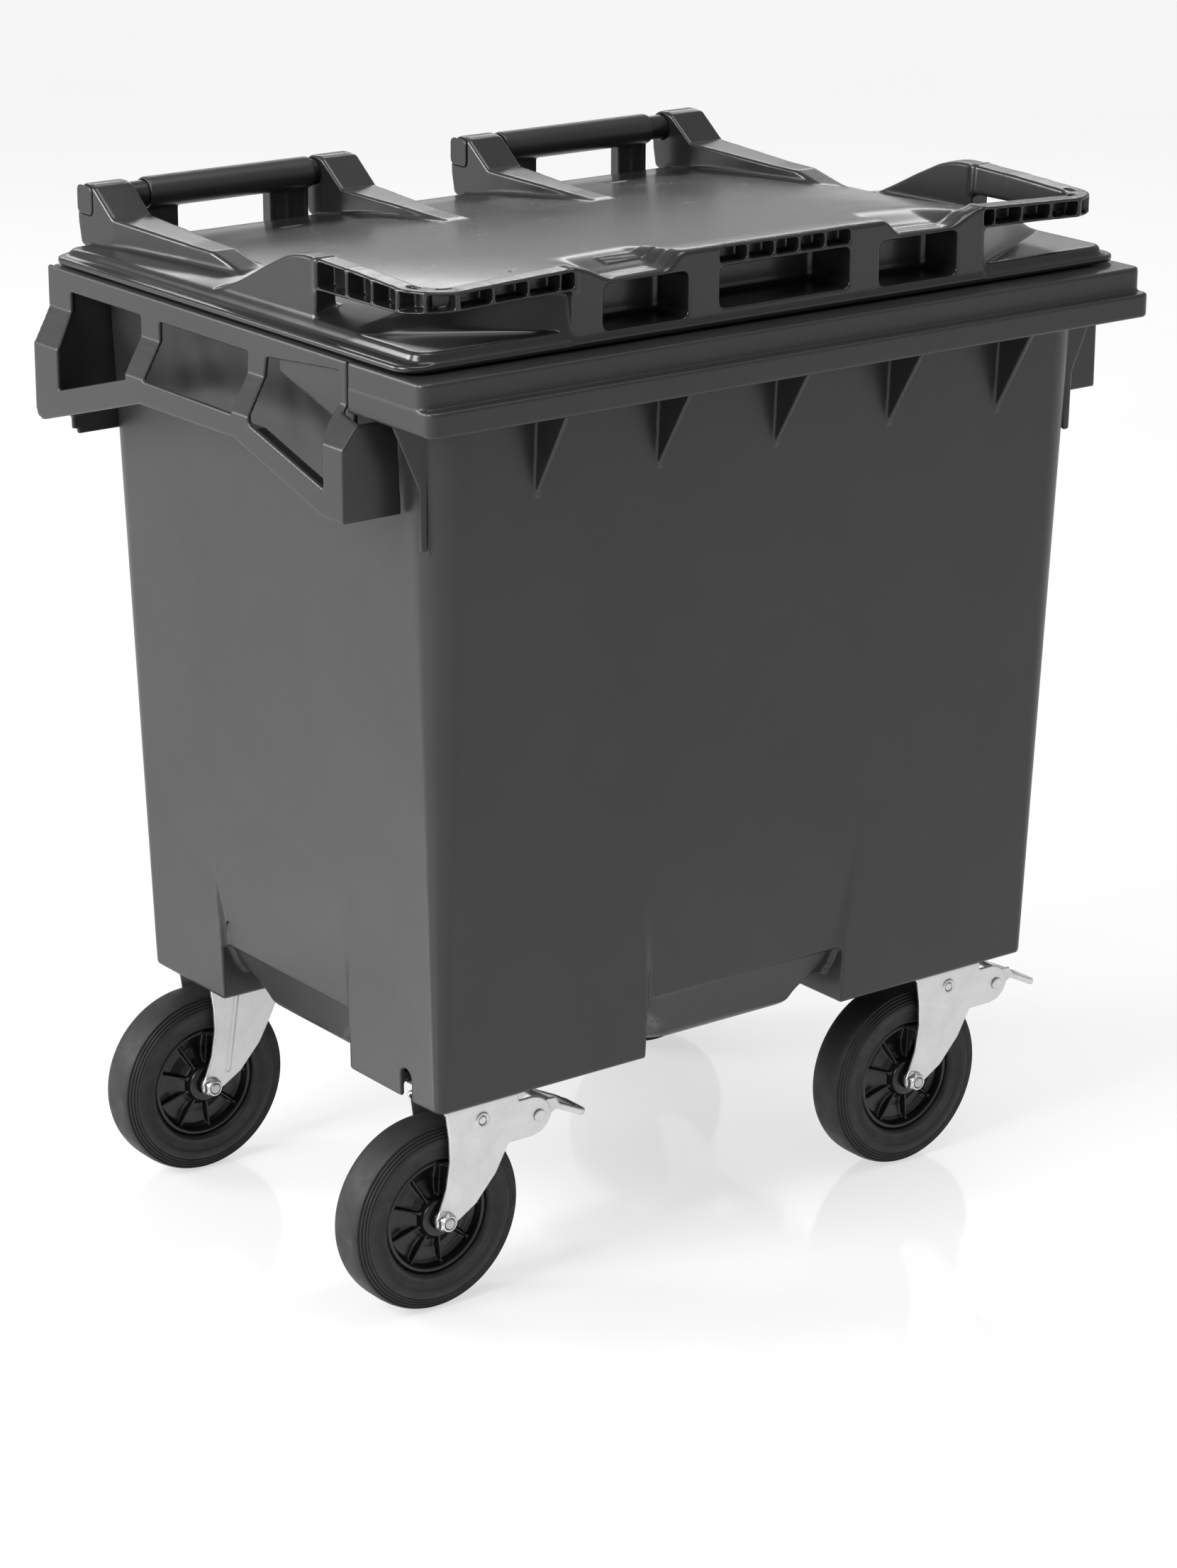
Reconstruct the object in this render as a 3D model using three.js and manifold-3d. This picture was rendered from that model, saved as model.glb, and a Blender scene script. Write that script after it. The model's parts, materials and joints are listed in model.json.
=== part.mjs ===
// Four-wheeled flat-lid waste container: moulded tub, side lifting frames, rear hinge bars,
// domed lid with front hand grips, and four swivel castors of which the front pair is braked.
// Millimetres, +Z up, front of the container towards -Y, floor at z = 0.
import * as THREE from 'three';
import { mergeVertices } from 'three/addons/utils/BufferGeometryUtils.js';
import Module from 'manifold-3d';

const wasm = await Module();
wasm.setup();

// ---------------------------------------------------------------- driving dimensions
const GAP = 0.3;                 // clearance between neighbouring pieces
const WALL = 5;                  // moulded wall thickness

const RIM_HALF_WIDTH = 452.2;
const RIM_FRONT = -355.6;        // lower step of the rim
const RIM_STEP_FRONT = -341.6;   // upper step of the rim
const RIM_REAR = 331;
const RIM_BOTTOM = 934.3;
const RIM_STEP = 959.3;
const RIM_TOP = 983.9;

const FOOT_BOTTOM = 222.8;
const CASTOR_SEAT = 237.2;       // underside of the tub where the castor plates bolt on
const BELLY_BOTTOM = 212;
const FOOT_X = 129;              // inner side of each corner foot
const FOOT_FRONT_Y = -111;
const FOOT_REAR_Y = 126;

const FRAME_OUT = 478.5;         // outer face of the side frames' lower rail
const FRAME_FRONT = -249;
const FRAME_SEAM = -217.7;

const HINGE_Y = 339;
const HINGE_Z = 1043;
const BARREL_R = 16.8;
const PIN_R = 13.4;
const ARM_OUTER = [352.4, 400];
const ARM_INNER = [72.4, 119];
const BARREL = [125.5, 330];

const LID_HALF_WIDTH = 449;
const LID_FRONT = -312;
const LID_REAR = 333;
const LID_BOTTOM = 986;
const SHELL_HALF_WIDTH = 432;
const LID_SKIN = 4;

const SWIVEL_X = 309.9;
const SWIVEL_Y = 218.7;
const TRAIL = 60.4;
const WHEEL_R = 100;
const TREAD_HALF = 25;
const FORK_IN = 29.5;
const FORK_SHEET = 4;
const AXLE_R = 6;
const CROWN_TOP = 221.5;         // the fork turns clear of the feet's lower edges

const ARM_R = 17.5;              // rear radius of the lid's hinge arms
const CENTRE_Y = -(RIM_FRONT + HINGE_Y + ARM_R) / 2;   // brings the middle of the depth to y = 0

// ---------------------------------------------------------------- materials
const materials = {
  body: new THREE.MeshStandardMaterial({ color: 0x3b3c3d, roughness: 0.55, metalness: 0 }),
  lid: new THREE.MeshStandardMaterial({ color: 0x343536, roughness: 0.35, metalness: 0 }),
  pin: new THREE.MeshStandardMaterial({ color: 0x2c2d2e, roughness: 0.3, metalness: 0 }),
  tyre: new THREE.MeshStandardMaterial({ color: 0x1b1b1c, roughness: 0.75, metalness: 0 }),
  rim: new THREE.MeshStandardMaterial({ color: 0x141415, roughness: 0.4, metalness: 0 }),
  zinc: new THREE.MeshStandardMaterial({ color: 0xc9cbcc, roughness: 0.3, metalness: 0.95 }),
};

// ---------------------------------------------------------------- solid helpers
function toSolid(geometry) {
  const plain = geometry.clone();
  for (const name of Object.keys(plain.attributes)) {
    if (name !== 'position') plain.deleteAttribute(name);
  }
  const merged = mergeVertices(plain, 1e-4);
  const position = merged.attributes.position;
  const index = merged.index.array;
  const a = new THREE.Vector3();
  const b = new THREE.Vector3();
  const c = new THREE.Vector3();
  const kept = [];
  let volume = 0;
  for (let i = 0; i < index.length; i += 3) {
    const [p, q, r] = [index[i], index[i + 1], index[i + 2]];
    if (p === q || q === r || p === r) continue;
    a.fromBufferAttribute(position, p);
    b.fromBufferAttribute(position, q);
    c.fromBufferAttribute(position, r);
    volume += a.dot(b.cross(c));
    kept.push(p, q, r);
  }
  if (volume < 0) kept.reverse();
  return new wasm.Manifold(new wasm.Mesh({
    numProp: 3,
    vertProperties: Float32Array.from(position.array),
    triVerts: Uint32Array.from(kept),
  }));
}

function toGeometry(solid) {
  const mesh = solid.getMesh();
  const geometry = new THREE.BufferGeometry();
  geometry.setAttribute('position', new THREE.BufferAttribute(Float32Array.from(mesh.vertProperties), 3));
  geometry.setIndex(new THREE.BufferAttribute(Uint32Array.from(mesh.triVerts), 1));
  geometry.computeVertexNormals();
  return geometry;
}

const join = (...solids) => solids.reduce((whole, piece) => whole.add(piece));
const cut = (solid, ...tools) => tools.reduce((whole, tool) => whole.subtract(tool), solid);

function box(x0, x1, y0, y1, z0, z1) {
  const geometry = new THREE.BoxGeometry(x1 - x0, y1 - y0, z1 - z0);
  geometry.translate((x0 + x1) / 2, (y0 + y1) / 2, (z0 + z1) / 2);
  return toSolid(geometry);
}

function cylinder(axis, centre, r, length, segments = 24) {
  const geometry = new THREE.CylinderGeometry(r, r, length, segments);
  if (axis === 'x') geometry.rotateZ(Math.PI / 2);
  if (axis === 'z') geometry.rotateX(Math.PI / 2);
  geometry.translate(...centre);
  return toSolid(geometry);
}

// Extrudes a closed outline. The pairs are (y, z) for axis x, (z, x) for axis y and (x, y) for axis z.
function prism(axis, outline, from, to) {
  const shape = new THREE.Shape(outline.map(([u, v]) => new THREE.Vector2(u, v)));
  const geometry = new THREE.ExtrudeGeometry(shape, { depth: to - from, bevelEnabled: false, steps: 1 });
  geometry.translate(0, 0, from);
  const x = new THREE.Vector3(1, 0, 0);
  const y = new THREE.Vector3(0, 1, 0);
  const z = new THREE.Vector3(0, 0, 1);
  const basis = new THREE.Matrix4();
  if (axis === 'x') geometry.applyMatrix4(basis.makeBasis(y, z, x));
  if (axis === 'y') geometry.applyMatrix4(basis.makeBasis(z, x, y));
  return toSolid(geometry);
}

// Turns a closed (radius, height) outline round an axis, starting at an angle from +Z.
function turned(axis, centre, outline, segments, start = 0) {
  const points = outline.concat([outline[0]]).map(([r, h]) => new THREE.Vector2(r, h));
  const geometry = new THREE.LatheGeometry(points, segments, start);
  if (axis === 'x') geometry.rotateZ(-Math.PI / 2);
  if (axis === 'z') geometry.rotateX(Math.PI / 2);
  geometry.translate(...centre);
  return toSolid(geometry);
}

function roundedRect(x0, x1, y0, y1, radius, steps = 4) {
  const points = [];
  const corners = [[x1, y1, 0], [x0, y1, 1], [x0, y0, 2], [x1, y0, 3]];
  for (const [x, y, quarter] of corners) {
    const cx = x === x1 ? x1 - radius : x0 + radius;
    const cy = y === y1 ? y1 - radius : y0 + radius;
    for (let i = 0; i <= steps; i += 1) {
      const angle = (quarter + i / steps) * Math.PI / 2;
      points.push([cx + radius * Math.cos(angle), cy + radius * Math.sin(angle)]);
    }
  }
  return points;
}

// Closed skin through a stack of rings that have the same number of points, bottom ring first.
function stack(rings) {
  const count = rings[0].length;
  const positions = rings.flat().flat();
  const index = [];
  for (let level = 0; level < rings.length - 1; level += 1) {
    for (let i = 0; i < count; i += 1) {
      const a = level * count + i;
      const b = level * count + (i + 1) % count;
      index.push(a, b, b + count, a, b + count, a + count);
    }
  }
  const top = (rings.length - 1) * count;
  for (let i = 1; i < count - 1; i += 1) {
    index.push(0, i + 1, i);
    index.push(top, top + i, top + i + 1);
  }
  const geometry = new THREE.BufferGeometry();
  geometry.setAttribute('position', new THREE.Float32BufferAttribute(positions, 3));
  geometry.setIndex(index);
  return toSolid(geometry);
}

// Tapered rounded box through sections { z, x, y, r } given as half sizes, or x0, x1, y0, y1.
function taper(sections, steps = 4) {
  return stack(sections.map((s) => {
    const [x0, x1] = s.x.length ? s.x : [-s.x, s.x];
    const [y0, y1] = s.y.length ? s.y : [-s.y, s.y];
    return roundedRect(x0, x1, y0, y1, s.r, steps).map(([x, y]) => [x, y, s.z]);
  }));
}

// Bar of rectangular section through stations { outer: [x, y], inner: [x, y], z0, z1 }.
function bar(stations) {
  return stack(stations.map(({ outer, inner, z0, z1 }) => [
    [...outer, z0], [...outer, z1], [...inner, z1], [...inner, z0],
  ]));
}

const mirrorX = (solid) => solid.mirror([1, 0, 0]);
const both = (solid) => join(solid, mirrorX(solid));

// ---------------------------------------------------------------- the object
const root = new THREE.Group();
const object = new THREE.Group();
object.position.set(0, CENTRE_Y, 0);
root.add(object);

function place(parent, name, solid, material) {
  const mesh = new THREE.Mesh(toGeometry(solid), material);
  mesh.name = name;
  parent.add(mesh);
}

// ---------------------------------------------------------------- tub
// Half width, half depth and corner radius of the tub's outer skin at a height.
function skin(z) {
  const t = (z - FOOT_BOTTOM) / (RIM_TOP - FOOT_BOTTOM);
  return { z, x: 388 + 27 * t, y: 267.7 + 39.2 * t, r: 10 + 38 * Math.max(0, t) };
}
function inset(section, by, lift = 0) {
  return { z: section.z + lift, x: section.x - by, y: section.y - by, r: Math.max(4, section.r - by) };
}

const cornerBoxes = (z0, z1, by = 0) => join(
  both(box(FOOT_X + by, 420, -330, FOOT_FRONT_Y - by, z0, z1)),
  both(box(FOOT_X + by, 420, FOOT_REAR_Y + by, 330, z0, z1)),
);

// The belly hangs between the feet as two crossing troughs.
function belly(by) {
  const along = [
    { z: BELLY_BOTTOM + by, x: 88 - by, y: 208 - by, r: 22 - by },
    { z: 220 + by, x: 104 - by, y: 230 - by, r: 22 - by },
    { z: 236 + by, x: 117 - by, y: 249 - by, r: 20 - by },
    { z: 262 + by, x: 124 - by, y: 263 - by, r: 16 - by },
    { z: 285, x: 126 - by, y: 270.6 - by, r: 12 - by },
  ];
  const across = [
    { z: BELLY_BOTTOM + by, x: 326 - by, y: [-68 + by, 82 - by], r: 22 - by },
    { z: 220 + by, x: 350 - by, y: [-86 + by, 100 - by], r: 22 - by },
    { z: 236 + by, x: 369 - by, y: [-99 + by, 113 - by], r: 20 - by },
    { z: 262 + by, x: 384 - by, y: [-106 + by, 121 - by], r: 16 - by },
    { z: 285, x: 390 - by, y: [-108 + by, 123 - by], r: 12 - by },
  ];
  return join(taper(along, 3), taper(across, 3));
}

const tubOuter = join(
  taper([skin(280), skin(RIM_TOP)], 5),
  taper([skin(FOOT_BOTTOM), skin(300)], 5).intersect(cornerBoxes(200, 300)),
  taper([inset(skin(250), 14), inset(skin(266), 4), skin(284)], 5),
  belly(0),
);
const footHollows = taper([inset(skin(FOOT_BOTTOM), WALL, -5), inset(skin(CASTOR_SEAT), WALL)], 5)
  .intersect(cornerBoxes(200, 300, WALL));
const cavity = join(
  taper([inset(skin(262), 12), inset(skin(290), WALL), inset(skin(990), WALL)], 5),
  taper([inset(skin(CASTOR_SEAT + 6), WALL), inset(skin(300), WALL)], 5)
    .intersect(cornerBoxes(200, 300, WALL)),
  belly(6),
);

const rimPlan = (front, side, by) => roundedRect(
  -side + by, side - by, front + by, RIM_REAR - by, 12 - by * 0.8, 3,
);
const rimOuter = join(
  prism('z', rimPlan(RIM_FRONT, RIM_HALF_WIDTH, 0), RIM_BOTTOM, RIM_STEP),
  prism('z', rimPlan(RIM_STEP_FRONT, RIM_HALF_WIDTH - 0.5, 0), RIM_STEP - 1, RIM_TOP),
);
const rimHollow = join(
  prism('z', rimPlan(RIM_FRONT, RIM_HALF_WIDTH, WALL), RIM_BOTTOM - 5, RIM_STEP - WALL),
  prism('z', rimPlan(RIM_STEP_FRONT, RIM_HALF_WIDTH - 0.5, WALL), RIM_STEP - 10, RIM_TOP - WALL),
);
const frameBay = join(
  both(box(RIM_HALF_WIDTH - WALL - GAP, 500, FRAME_SEAM - GAP, 340, 900, 1000)),
  both(box(380, 500, FRAME_SEAM - GAP, 340, 900, RIM_TOP - WALL)),
);

// Five triangular gussets under the front rim and one at each front corner.
const gussets = [];
for (let i = -2; i <= 2; i += 1) {
  const x = i * 146.1;
  const tip = Math.abs(i) === 2 ? 838 : 845;
  gussets.push(prism('x', [[-296, tip], [-353, RIM_BOTTOM + 3], [-353, 953], [-296, 975]], x - 2.5, x + 2.5));
}
const cornerGusset = prism('y', [
  [806, 405], [806, 413], [868, 415], [RIM_BOTTOM + 2, 446], [970, 446], [970, 400],
], -282.5, -277.5);
const sideWeb = prism('x', [
  [-92, 950], [-92, 979], [-222, 979], [-222, 918], [-197, 918],
], 441, 446);

const slotKeyhole = join(
  box(-400, -370, -220, -202, 210, 246),
  cylinder('x', [-385, -211, 246], 9, 30, 16),
);
// Bracket feet of the hinge bars sit in these notches of the rear rim.
const hingeNotches = both(join(
  box(126, 176.5, 316, 340, 955, 1000),
  box(289, 330, 316, 340, 955, 1000),
));

const tub = cut(
  join(cut(rimOuter, rimHollow, frameBay), tubOuter, ...gussets, both(cornerGusset)),
  hingeNotches,
  cavity,
  footHollows,
  slotKeyhole,
);
place(object, 'container_tub', join(tub, cut(both(sideWeb), cavity)), materials.body);

// ---------------------------------------------------------------- side lifting frames
function sideFrame() {
  const lower = FRAME_OUT;
  const upper = RIM_HALF_WIDTH;
  const sheet = prism('y', [
    [RIM_TOP, upper - WALL], [942, upper - WALL], [908, lower - WALL], [826, lower - WALL],
    [826, lower], [908, lower], [942, upper], [RIM_TOP, upper],
  ], FRAME_FRONT, RIM_REAR);
  const outline = [
    [RIM_REAR, RIM_TOP], [FRAME_SEAM, RIM_TOP], [FRAME_SEAM, 935], [FRAME_FRONT, 930],
    [FRAME_FRONT, 837], [-214, 837], [-60, 883], [115, 882], [306, 828.5], [316, 832],
    [319, 840], [319, 910], [RIM_REAR, 945],
  ];
  const windows = [
    [[150, 962], [286, 962], [286, 942], [271.7, 910], [271.7, 866], [138.6, 903], [150, 942]],
    [[-47, 961.5], [114, 961.5], [114, 942], [104.6, 907], [-56.8, 906], [-46, 942]],
    [[-197, 972], [-80, 962], [-76, 942], [-88, 901.5], [-215, 865], [-215, 905], [-205, 925], [-205, 972]],
  ];
  const face = sheet.intersect(prism('x', outline, 430, 500));
  const openings = windows.map((points) => prism('x', points, 430, 500));

  // Inward returns: a shelf along the lower rail and the two end walls down to the tub.
  const shelfLine = (offset) => [
    [FRAME_FRONT, 837 + offset], [-214, 837 + offset], [-60, 883 + offset],
    [115, 882 + offset], [306, 828.5 + offset], [319, 840 + offset],
  ];
  const shelf = prism('x', shelfLine(0).concat(shelfLine(5).reverse()), 440, lower - 2);
  const frontWall = prism('y', [
    [837, 412.3], [837, lower - 1], [907, lower - 1], [930, 459.5], [930, 416.5],
  ], FRAME_FRONT, FRAME_FRONT + WALL);
  const rearWall = prism('y', [
    [812, 411.5], [812, 446], [818, 446], [818, 452], [840, 452], [840, lower - 1],
    [908, lower - 1], [942, upper - 1], [975, upper - 1], [975, 418.5],
  ], 289, 294);
  const body = join(cut(face, ...openings), shelf, frontWall, rearWall);
  const clear = taper([inset(skin(800), -GAP), inset(skin(RIM_TOP), -GAP)], 5);
  const rimClear = box(380, RIM_HALF_WIDTH - WALL + GAP - 0.6, -400, 400, RIM_TOP - WALL - GAP, 1000);
  const webClear = box(440, 446.3, -223, -91, 917, 980);
  return cut(body, clear, rimClear, webClear);
}
place(object, 'side_frame_right', sideFrame(), materials.body);
place(object, 'side_frame_left', mirrorX(sideFrame()), materials.body);

// ---------------------------------------------------------------- rear hinge bars
function hingeBar() {
  const tube = cylinder('x', [(BARREL[0] + BARREL[1]) / 2, HINGE_Y, HINGE_Z], BARREL_R, BARREL[1] - BARREL[0]);
  const post = (x0, x1, webX) => join(
    box(x0, x1, 336.5, 341.5, 956, HINGE_Z - 6),
    box(x0, x0 + 5, 335.5, 351, 956, HINGE_Z - 6),
    box(x1 - 5, x1, 335.5, 351, 956, HINGE_Z - 6),
    box(webX, webX + 5, 335.5, 351, 956, HINGE_Z - 6),
    box(x0, x1, 317, 351, 956, RIM_TOP),
  );
  const bore = join(
    cylinder('x', [BARREL[0], HINGE_Y, HINGE_Z], PIN_R + 0.2, 60),
    cylinder('x', [BARREL[1], HINGE_Y, HINGE_Z], PIN_R + 0.2, 60),
  );
  const bar = join(tube, post(126.5, 176, 150), post(289.5, 329.5, 308));
  return cut(bar, bore);
}
const noLid = box(0, 400, 300, 335.2, RIM_TOP + 0.1, 1010);
place(object, 'hinge_bar_right', cut(hingeBar(), noLid), materials.body);
place(object, 'hinge_bar_left', mirrorX(cut(hingeBar(), noLid)), materials.body);

// ---------------------------------------------------------------- lid
const smooth = (a, b, v) => {
  const t = Math.min(1, Math.max(0, (v - a) / (b - a)));
  return t * t * (3 - 2 * t);
};
const mix = (a, b, t) => a + (b - a) * t;

// Height of the lid's outer skin: a wedge that rises to the front, domed across, cut off slantwise
// at the front corners so that a hand goes under the grip rails, and dipped beside the middle grip.
function lidTop(x, y) {
  const u = Math.abs(x);
  const edge = 1 - (u / SHELL_HALF_WIDTH) ** 4.4;
  const rise = Math.min(61, Math.max(-4, 0.1 * (330 - y)));
  let z = 1002 + rise * edge - 3 * smooth(250, 330, y);
  const slant = (u - 393) * 0.517 - (y + 231) * 0.856;
  z = mix(z, 1004, smooth(-30, 2, slant));
  const dip = smooth(128, 148, u) * (1 - smooth(212, 240, u)) * smooth(-225, -300, y);
  return z - 14 * dip;
}

const columns = [0, 70, 126, 150, 208, 236, 256, 276, 300, 325, 350, 375, 408, 432];
const lines = [-308, -297, -283, -268, -253, -236, -215, -160, -90, 20, 160, 280, 330];

// Closed block between a flat base and the lid's skin, drawn in by a margin and lowered by a drop.
function lidBlock(margin, drop, base) {
  const scaleX = (SHELL_HALF_WIDTH - margin) / SHELL_HALF_WIDTH;
  const xs = [...columns.slice(1).map((x) => -x).reverse(), ...columns].map((x) => x * scaleX);
  const front = lines[0] + margin;
  const rear = lines[lines.length - 1] - margin;
  const ys = lines.map((y) => mix(front, rear, (y - lines[0]) / (lines[lines.length - 1] - lines[0])));
  const across = xs.length;
  const positions = [];
  const index = [];
  for (const y of ys) {
    for (const x of xs) positions.push(x, y, lidTop(x, y) - drop);
  }
  for (const y of ys) {
    for (const x of xs) positions.push(x, y, base);
  }
  const lift = across * ys.length;
  for (let j = 0; j < ys.length - 1; j += 1) {
    for (let i = 0; i < across - 1; i += 1) {
      const a = j * across + i;
      index.push(a, a + 1, a + across + 1, a, a + across + 1, a + across);
    }
  }
  const rim = [];
  for (let i = 0; i < across; i += 1) rim.push(i);
  for (let j = 1; j < ys.length; j += 1) rim.push(j * across + across - 1);
  for (let i = across - 2; i >= 0; i -= 1) rim.push((ys.length - 1) * across + i);
  for (let j = ys.length - 2; j > 0; j -= 1) rim.push(j * across);
  for (let i = 0; i < rim.length; i += 1) {
    const a = rim[i];
    const b = rim[(i + 1) % rim.length];
    index.push(a + lift, b + lift, b, a + lift, b, a);
  }
  // The flat base is a fan round its border.
  for (let i = 1; i < rim.length - 1; i += 1) index.push(rim[0] + lift, rim[i + 1] + lift, rim[i] + lift);
  const geometry = new THREE.BufferGeometry();
  geometry.setAttribute('position', new THREE.Float32BufferAttribute(positions, 3));
  geometry.setIndex(index);
  return toSolid(geometry);
}

// Top edge of the front wall and grip rails along x.
function frontEdge(x) {
  const u = Math.abs(x);
  const dip = smooth(124, 150, u) * (1 - smooth(205, 258, u));
  return mix(1064.5, 1057.5, smooth(262, 395, u)) - 17 * dip;
}

const frontLid = [-256, -246, -234, -222, -205, -175, -150, -140, -130, -120, 0];
const frontStations = frontLid.concat(frontLid.slice(0, -1).map((x) => -x).reverse());
const frontWall = bar(frontStations.map((x) => ({
  outer: [x, LID_FRONT], inner: [x, LID_FRONT + 22], z0: 988, z1: frontEdge(x),
})));

// Grip rail: from the front wall round the corner to the side wall, as a band of stations.
const RAIL_X = 427;
const RAIL_WIDTH = 24;
const CORNER_R = 46;
function railStations() {
  const stations = [];
  const push = (ox, oy, ix, iy, z0, z1) => stations.push({ outer: [ox, oy], inner: [ix, iy], z0, z1 });
  const backX = RAIL_X - RAIL_WIDTH;
  const backY = LID_FRONT + RAIL_WIDTH;
  const backR = CORNER_R - RAIL_WIDTH;
  const cx = RAIL_X - CORNER_R;
  const cy = LID_FRONT + CORNER_R;
  push(254, LID_FRONT, 254, backY, 1041, 1064.5);
  push(320, LID_FRONT, 320, backY, 1040, 1061);
  push(cx, LID_FRONT, cx, backY, 1038, 1058);
  for (let i = 1; i <= 5; i += 1) {
    const angle = (-1 + i / 6) * Math.PI / 2;
    const [ux, uy] = [Math.cos(angle), Math.sin(angle)];
    push(cx + CORNER_R * ux, cy + CORNER_R * uy, cx + backR * ux, cy + backR * uy, 1038 - i, 1058);
  }
  push(RAIL_X, cy, backX, cy, 1032, 1058.5);
  push(RAIL_X, -190, backX, -190, 1031, 1062);
  push(RAIL_X, -127, backX, -127, 1032, 1063.5);
  return stations;
}
const rail = bar(railStations());

// Side wall that carries the rail's rear end and runs down to the lid's side.
const sideWallOutline = [
  [62, 990], [47, 1004], [20, 1013], [-5, 1024], [-40, 1041], [-75, 1056.5], [-92, 1061.5], [-106, 1063.5],
  [-131, 1063.5], [-128, 990],
];
const sideWall = cut(
  prism('x', sideWallOutline, 403, 427),
  prism('x', [
    [40, 980], [38, 1003], [0, 1021], [-38, 1037], [-72, 1052], [-96, 1059], [-126, 1059], [-123, 980],
  ], 396, 423),
);

// Cells that open outwards in the grips, split by thin ribs.
const cells = [];
const sideCells = [[-179, -134], [-221.5, -182.5], [-262, -225]];
for (const [y0, y1] of sideCells) cells.push(box(407, 440, y0, y1, 1035.5, 1055));
const frontCells = [[262, 307], [310, 347], [350, 380]];
for (const [x0, x1] of frontCells) cells.push(box(x0, x1, -330, LID_FRONT + 20, 1043.5, 1054.5));
const middleCells = [[-81.7, -49], [-45.5, -15.5], [-12, 15.5], [19, 48.5], [52, 81.7]];
const middleTools = middleCells.map(([x0, x1]) => box(x0, x1, -330, LID_FRONT + 19, 1048, 1060.5));

// Pockets in the front wall, each lined with its own skin.
const pocket = (x0, x1, z0, z1, depth, by) => box(
  x0 - by, x1 + by, LID_FRONT - (by ? -1 : 10), LID_FRONT + depth + by, z0 - by, z1 + by,
);
const pocketList = [
  [-81.7, 81.7, 1003, 1043.5, 60],
  [120, 222, 1000, 1041, 46],
  [-222, -120, 1000, 1041, 46],
];
const linings = pocketList.map((p) => pocket(...p, 3)).map((p) => p.intersect(lidBlock(1, 1, 986)));
const pockets = pocketList.map((p) => pocket(...p, 0));

// Hinge arms, moulded with the lid.
function arm([x0, x1]) {
  const profile = [
    [47, 1008], [60, 1015], [111, 1026], [154, 1026.5], [285.5, 1031.5], [321.5, 1058.5], [331, 1060.5],
  ];
  for (let degrees = 75; degrees >= 0; degrees -= 15) {
    const angle = degrees * Math.PI / 180;
    profile.push([HINGE_Y + ARM_R * Math.cos(angle), HINGE_Z + ARM_R * Math.sin(angle)]);
  }
  profile.push([355, 1018], [350.5, 997], [LID_REAR, 988], [47, 994]);
  return prism('x', profile, x0, x1);
}
const armHollow = ([x0, x1]) => prism('x', [
  [80, 980], [80, 1010], [111, 1022], [154, 1022.5], [284, 1027.5], [310, 1046], [318, 1046],
  [318, 980],
], x0 + 4, x1 - 4);
const arms = both(join(arm(ARM_OUTER), arm(ARM_INNER)));
const armHollows = both(join(armHollow(ARM_OUTER), armHollow(ARM_INNER)));
const armBores = both(join(
  cylinder('x', [(ARM_OUTER[0] + ARM_OUTER[1]) / 2, HINGE_Y, HINGE_Z], PIN_R + GAP, 60),
  cylinder('x', [(ARM_INNER[0] + ARM_INNER[1]) / 2, HINGE_Y, HINGE_Z], PIN_R + GAP, 60),
));
const armCap = (x0, x1, by) => prism('x', roundedRect(
  HINGE_Y - 13.5 - by, HINGE_Y + 16 + by, HINGE_Z - 14.5 - by, HINGE_Z + 15 + by, 6, 3,
), x0, x1);
const capSeats = both(join(
  armCap(ARM_OUTER[1] - 3.3, ARM_OUTER[1] + 5, GAP),
  armCap(ARM_INNER[0] - 5, ARM_INNER[0] + 3.3, GAP),
));

const flange = cut(
  prism('z', roundedRect(-LID_HALF_WIDTH, LID_HALF_WIDTH, LID_FRONT - 1, LID_REAR, 26, 4), LID_BOTTOM, 993),
  prism('z', roundedRect(-426, 426, -303, 326, 20, 4), 980, 1000),
);
const shell = cut(lidBlock(0, 0, 987), lidBlock(LID_SKIN, LID_SKIN, 980));
const lidHollow = lidBlock(LID_SKIN, LID_SKIN, 975);
const outerForms = join(shell, flange, both(join(rail, sideWall)), frontWall, ...linings);
const armForms = cut(arms, armHollows, cut(lidHollow, armHollows));
const lid = cut(
  join(outerForms, armForms),
  both(join(...cells)),
  ...middleTools,
  ...pockets,
  armHollows,
  armBores,
  capSeats,
  box(-440, 440, LID_REAR + 0.5, 360, 980, 994),
);
place(object, 'lid', lid, materials.lid);

// Hinge pins: a round shank through the arm into the barrel, with a flat rounded head.
function hingePin(x0, x1, headX0, headX1) {
  return join(
    cylinder('x', [(x0 + x1) / 2, HINGE_Y, HINGE_Z], PIN_R, x1 - x0),
    armCap(headX0, headX1, 0),
  );
}
const outerPin = hingePin(306, 398, ARM_OUTER[1] - 3, ARM_OUTER[1] + 0.5);
const innerPin = hingePin(73, 150, ARM_INNER[0] - 0.5, ARM_INNER[0] + 3);
place(object, 'hinge_pin_right_outer', outerPin, materials.pin);
place(object, 'hinge_pin_right_inner', innerPin, materials.pin);
place(object, 'hinge_pin_left_inner', mirrorX(innerPin), materials.pin);
place(object, 'hinge_pin_left_outer', mirrorX(outerPin), materials.pin);

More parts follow.
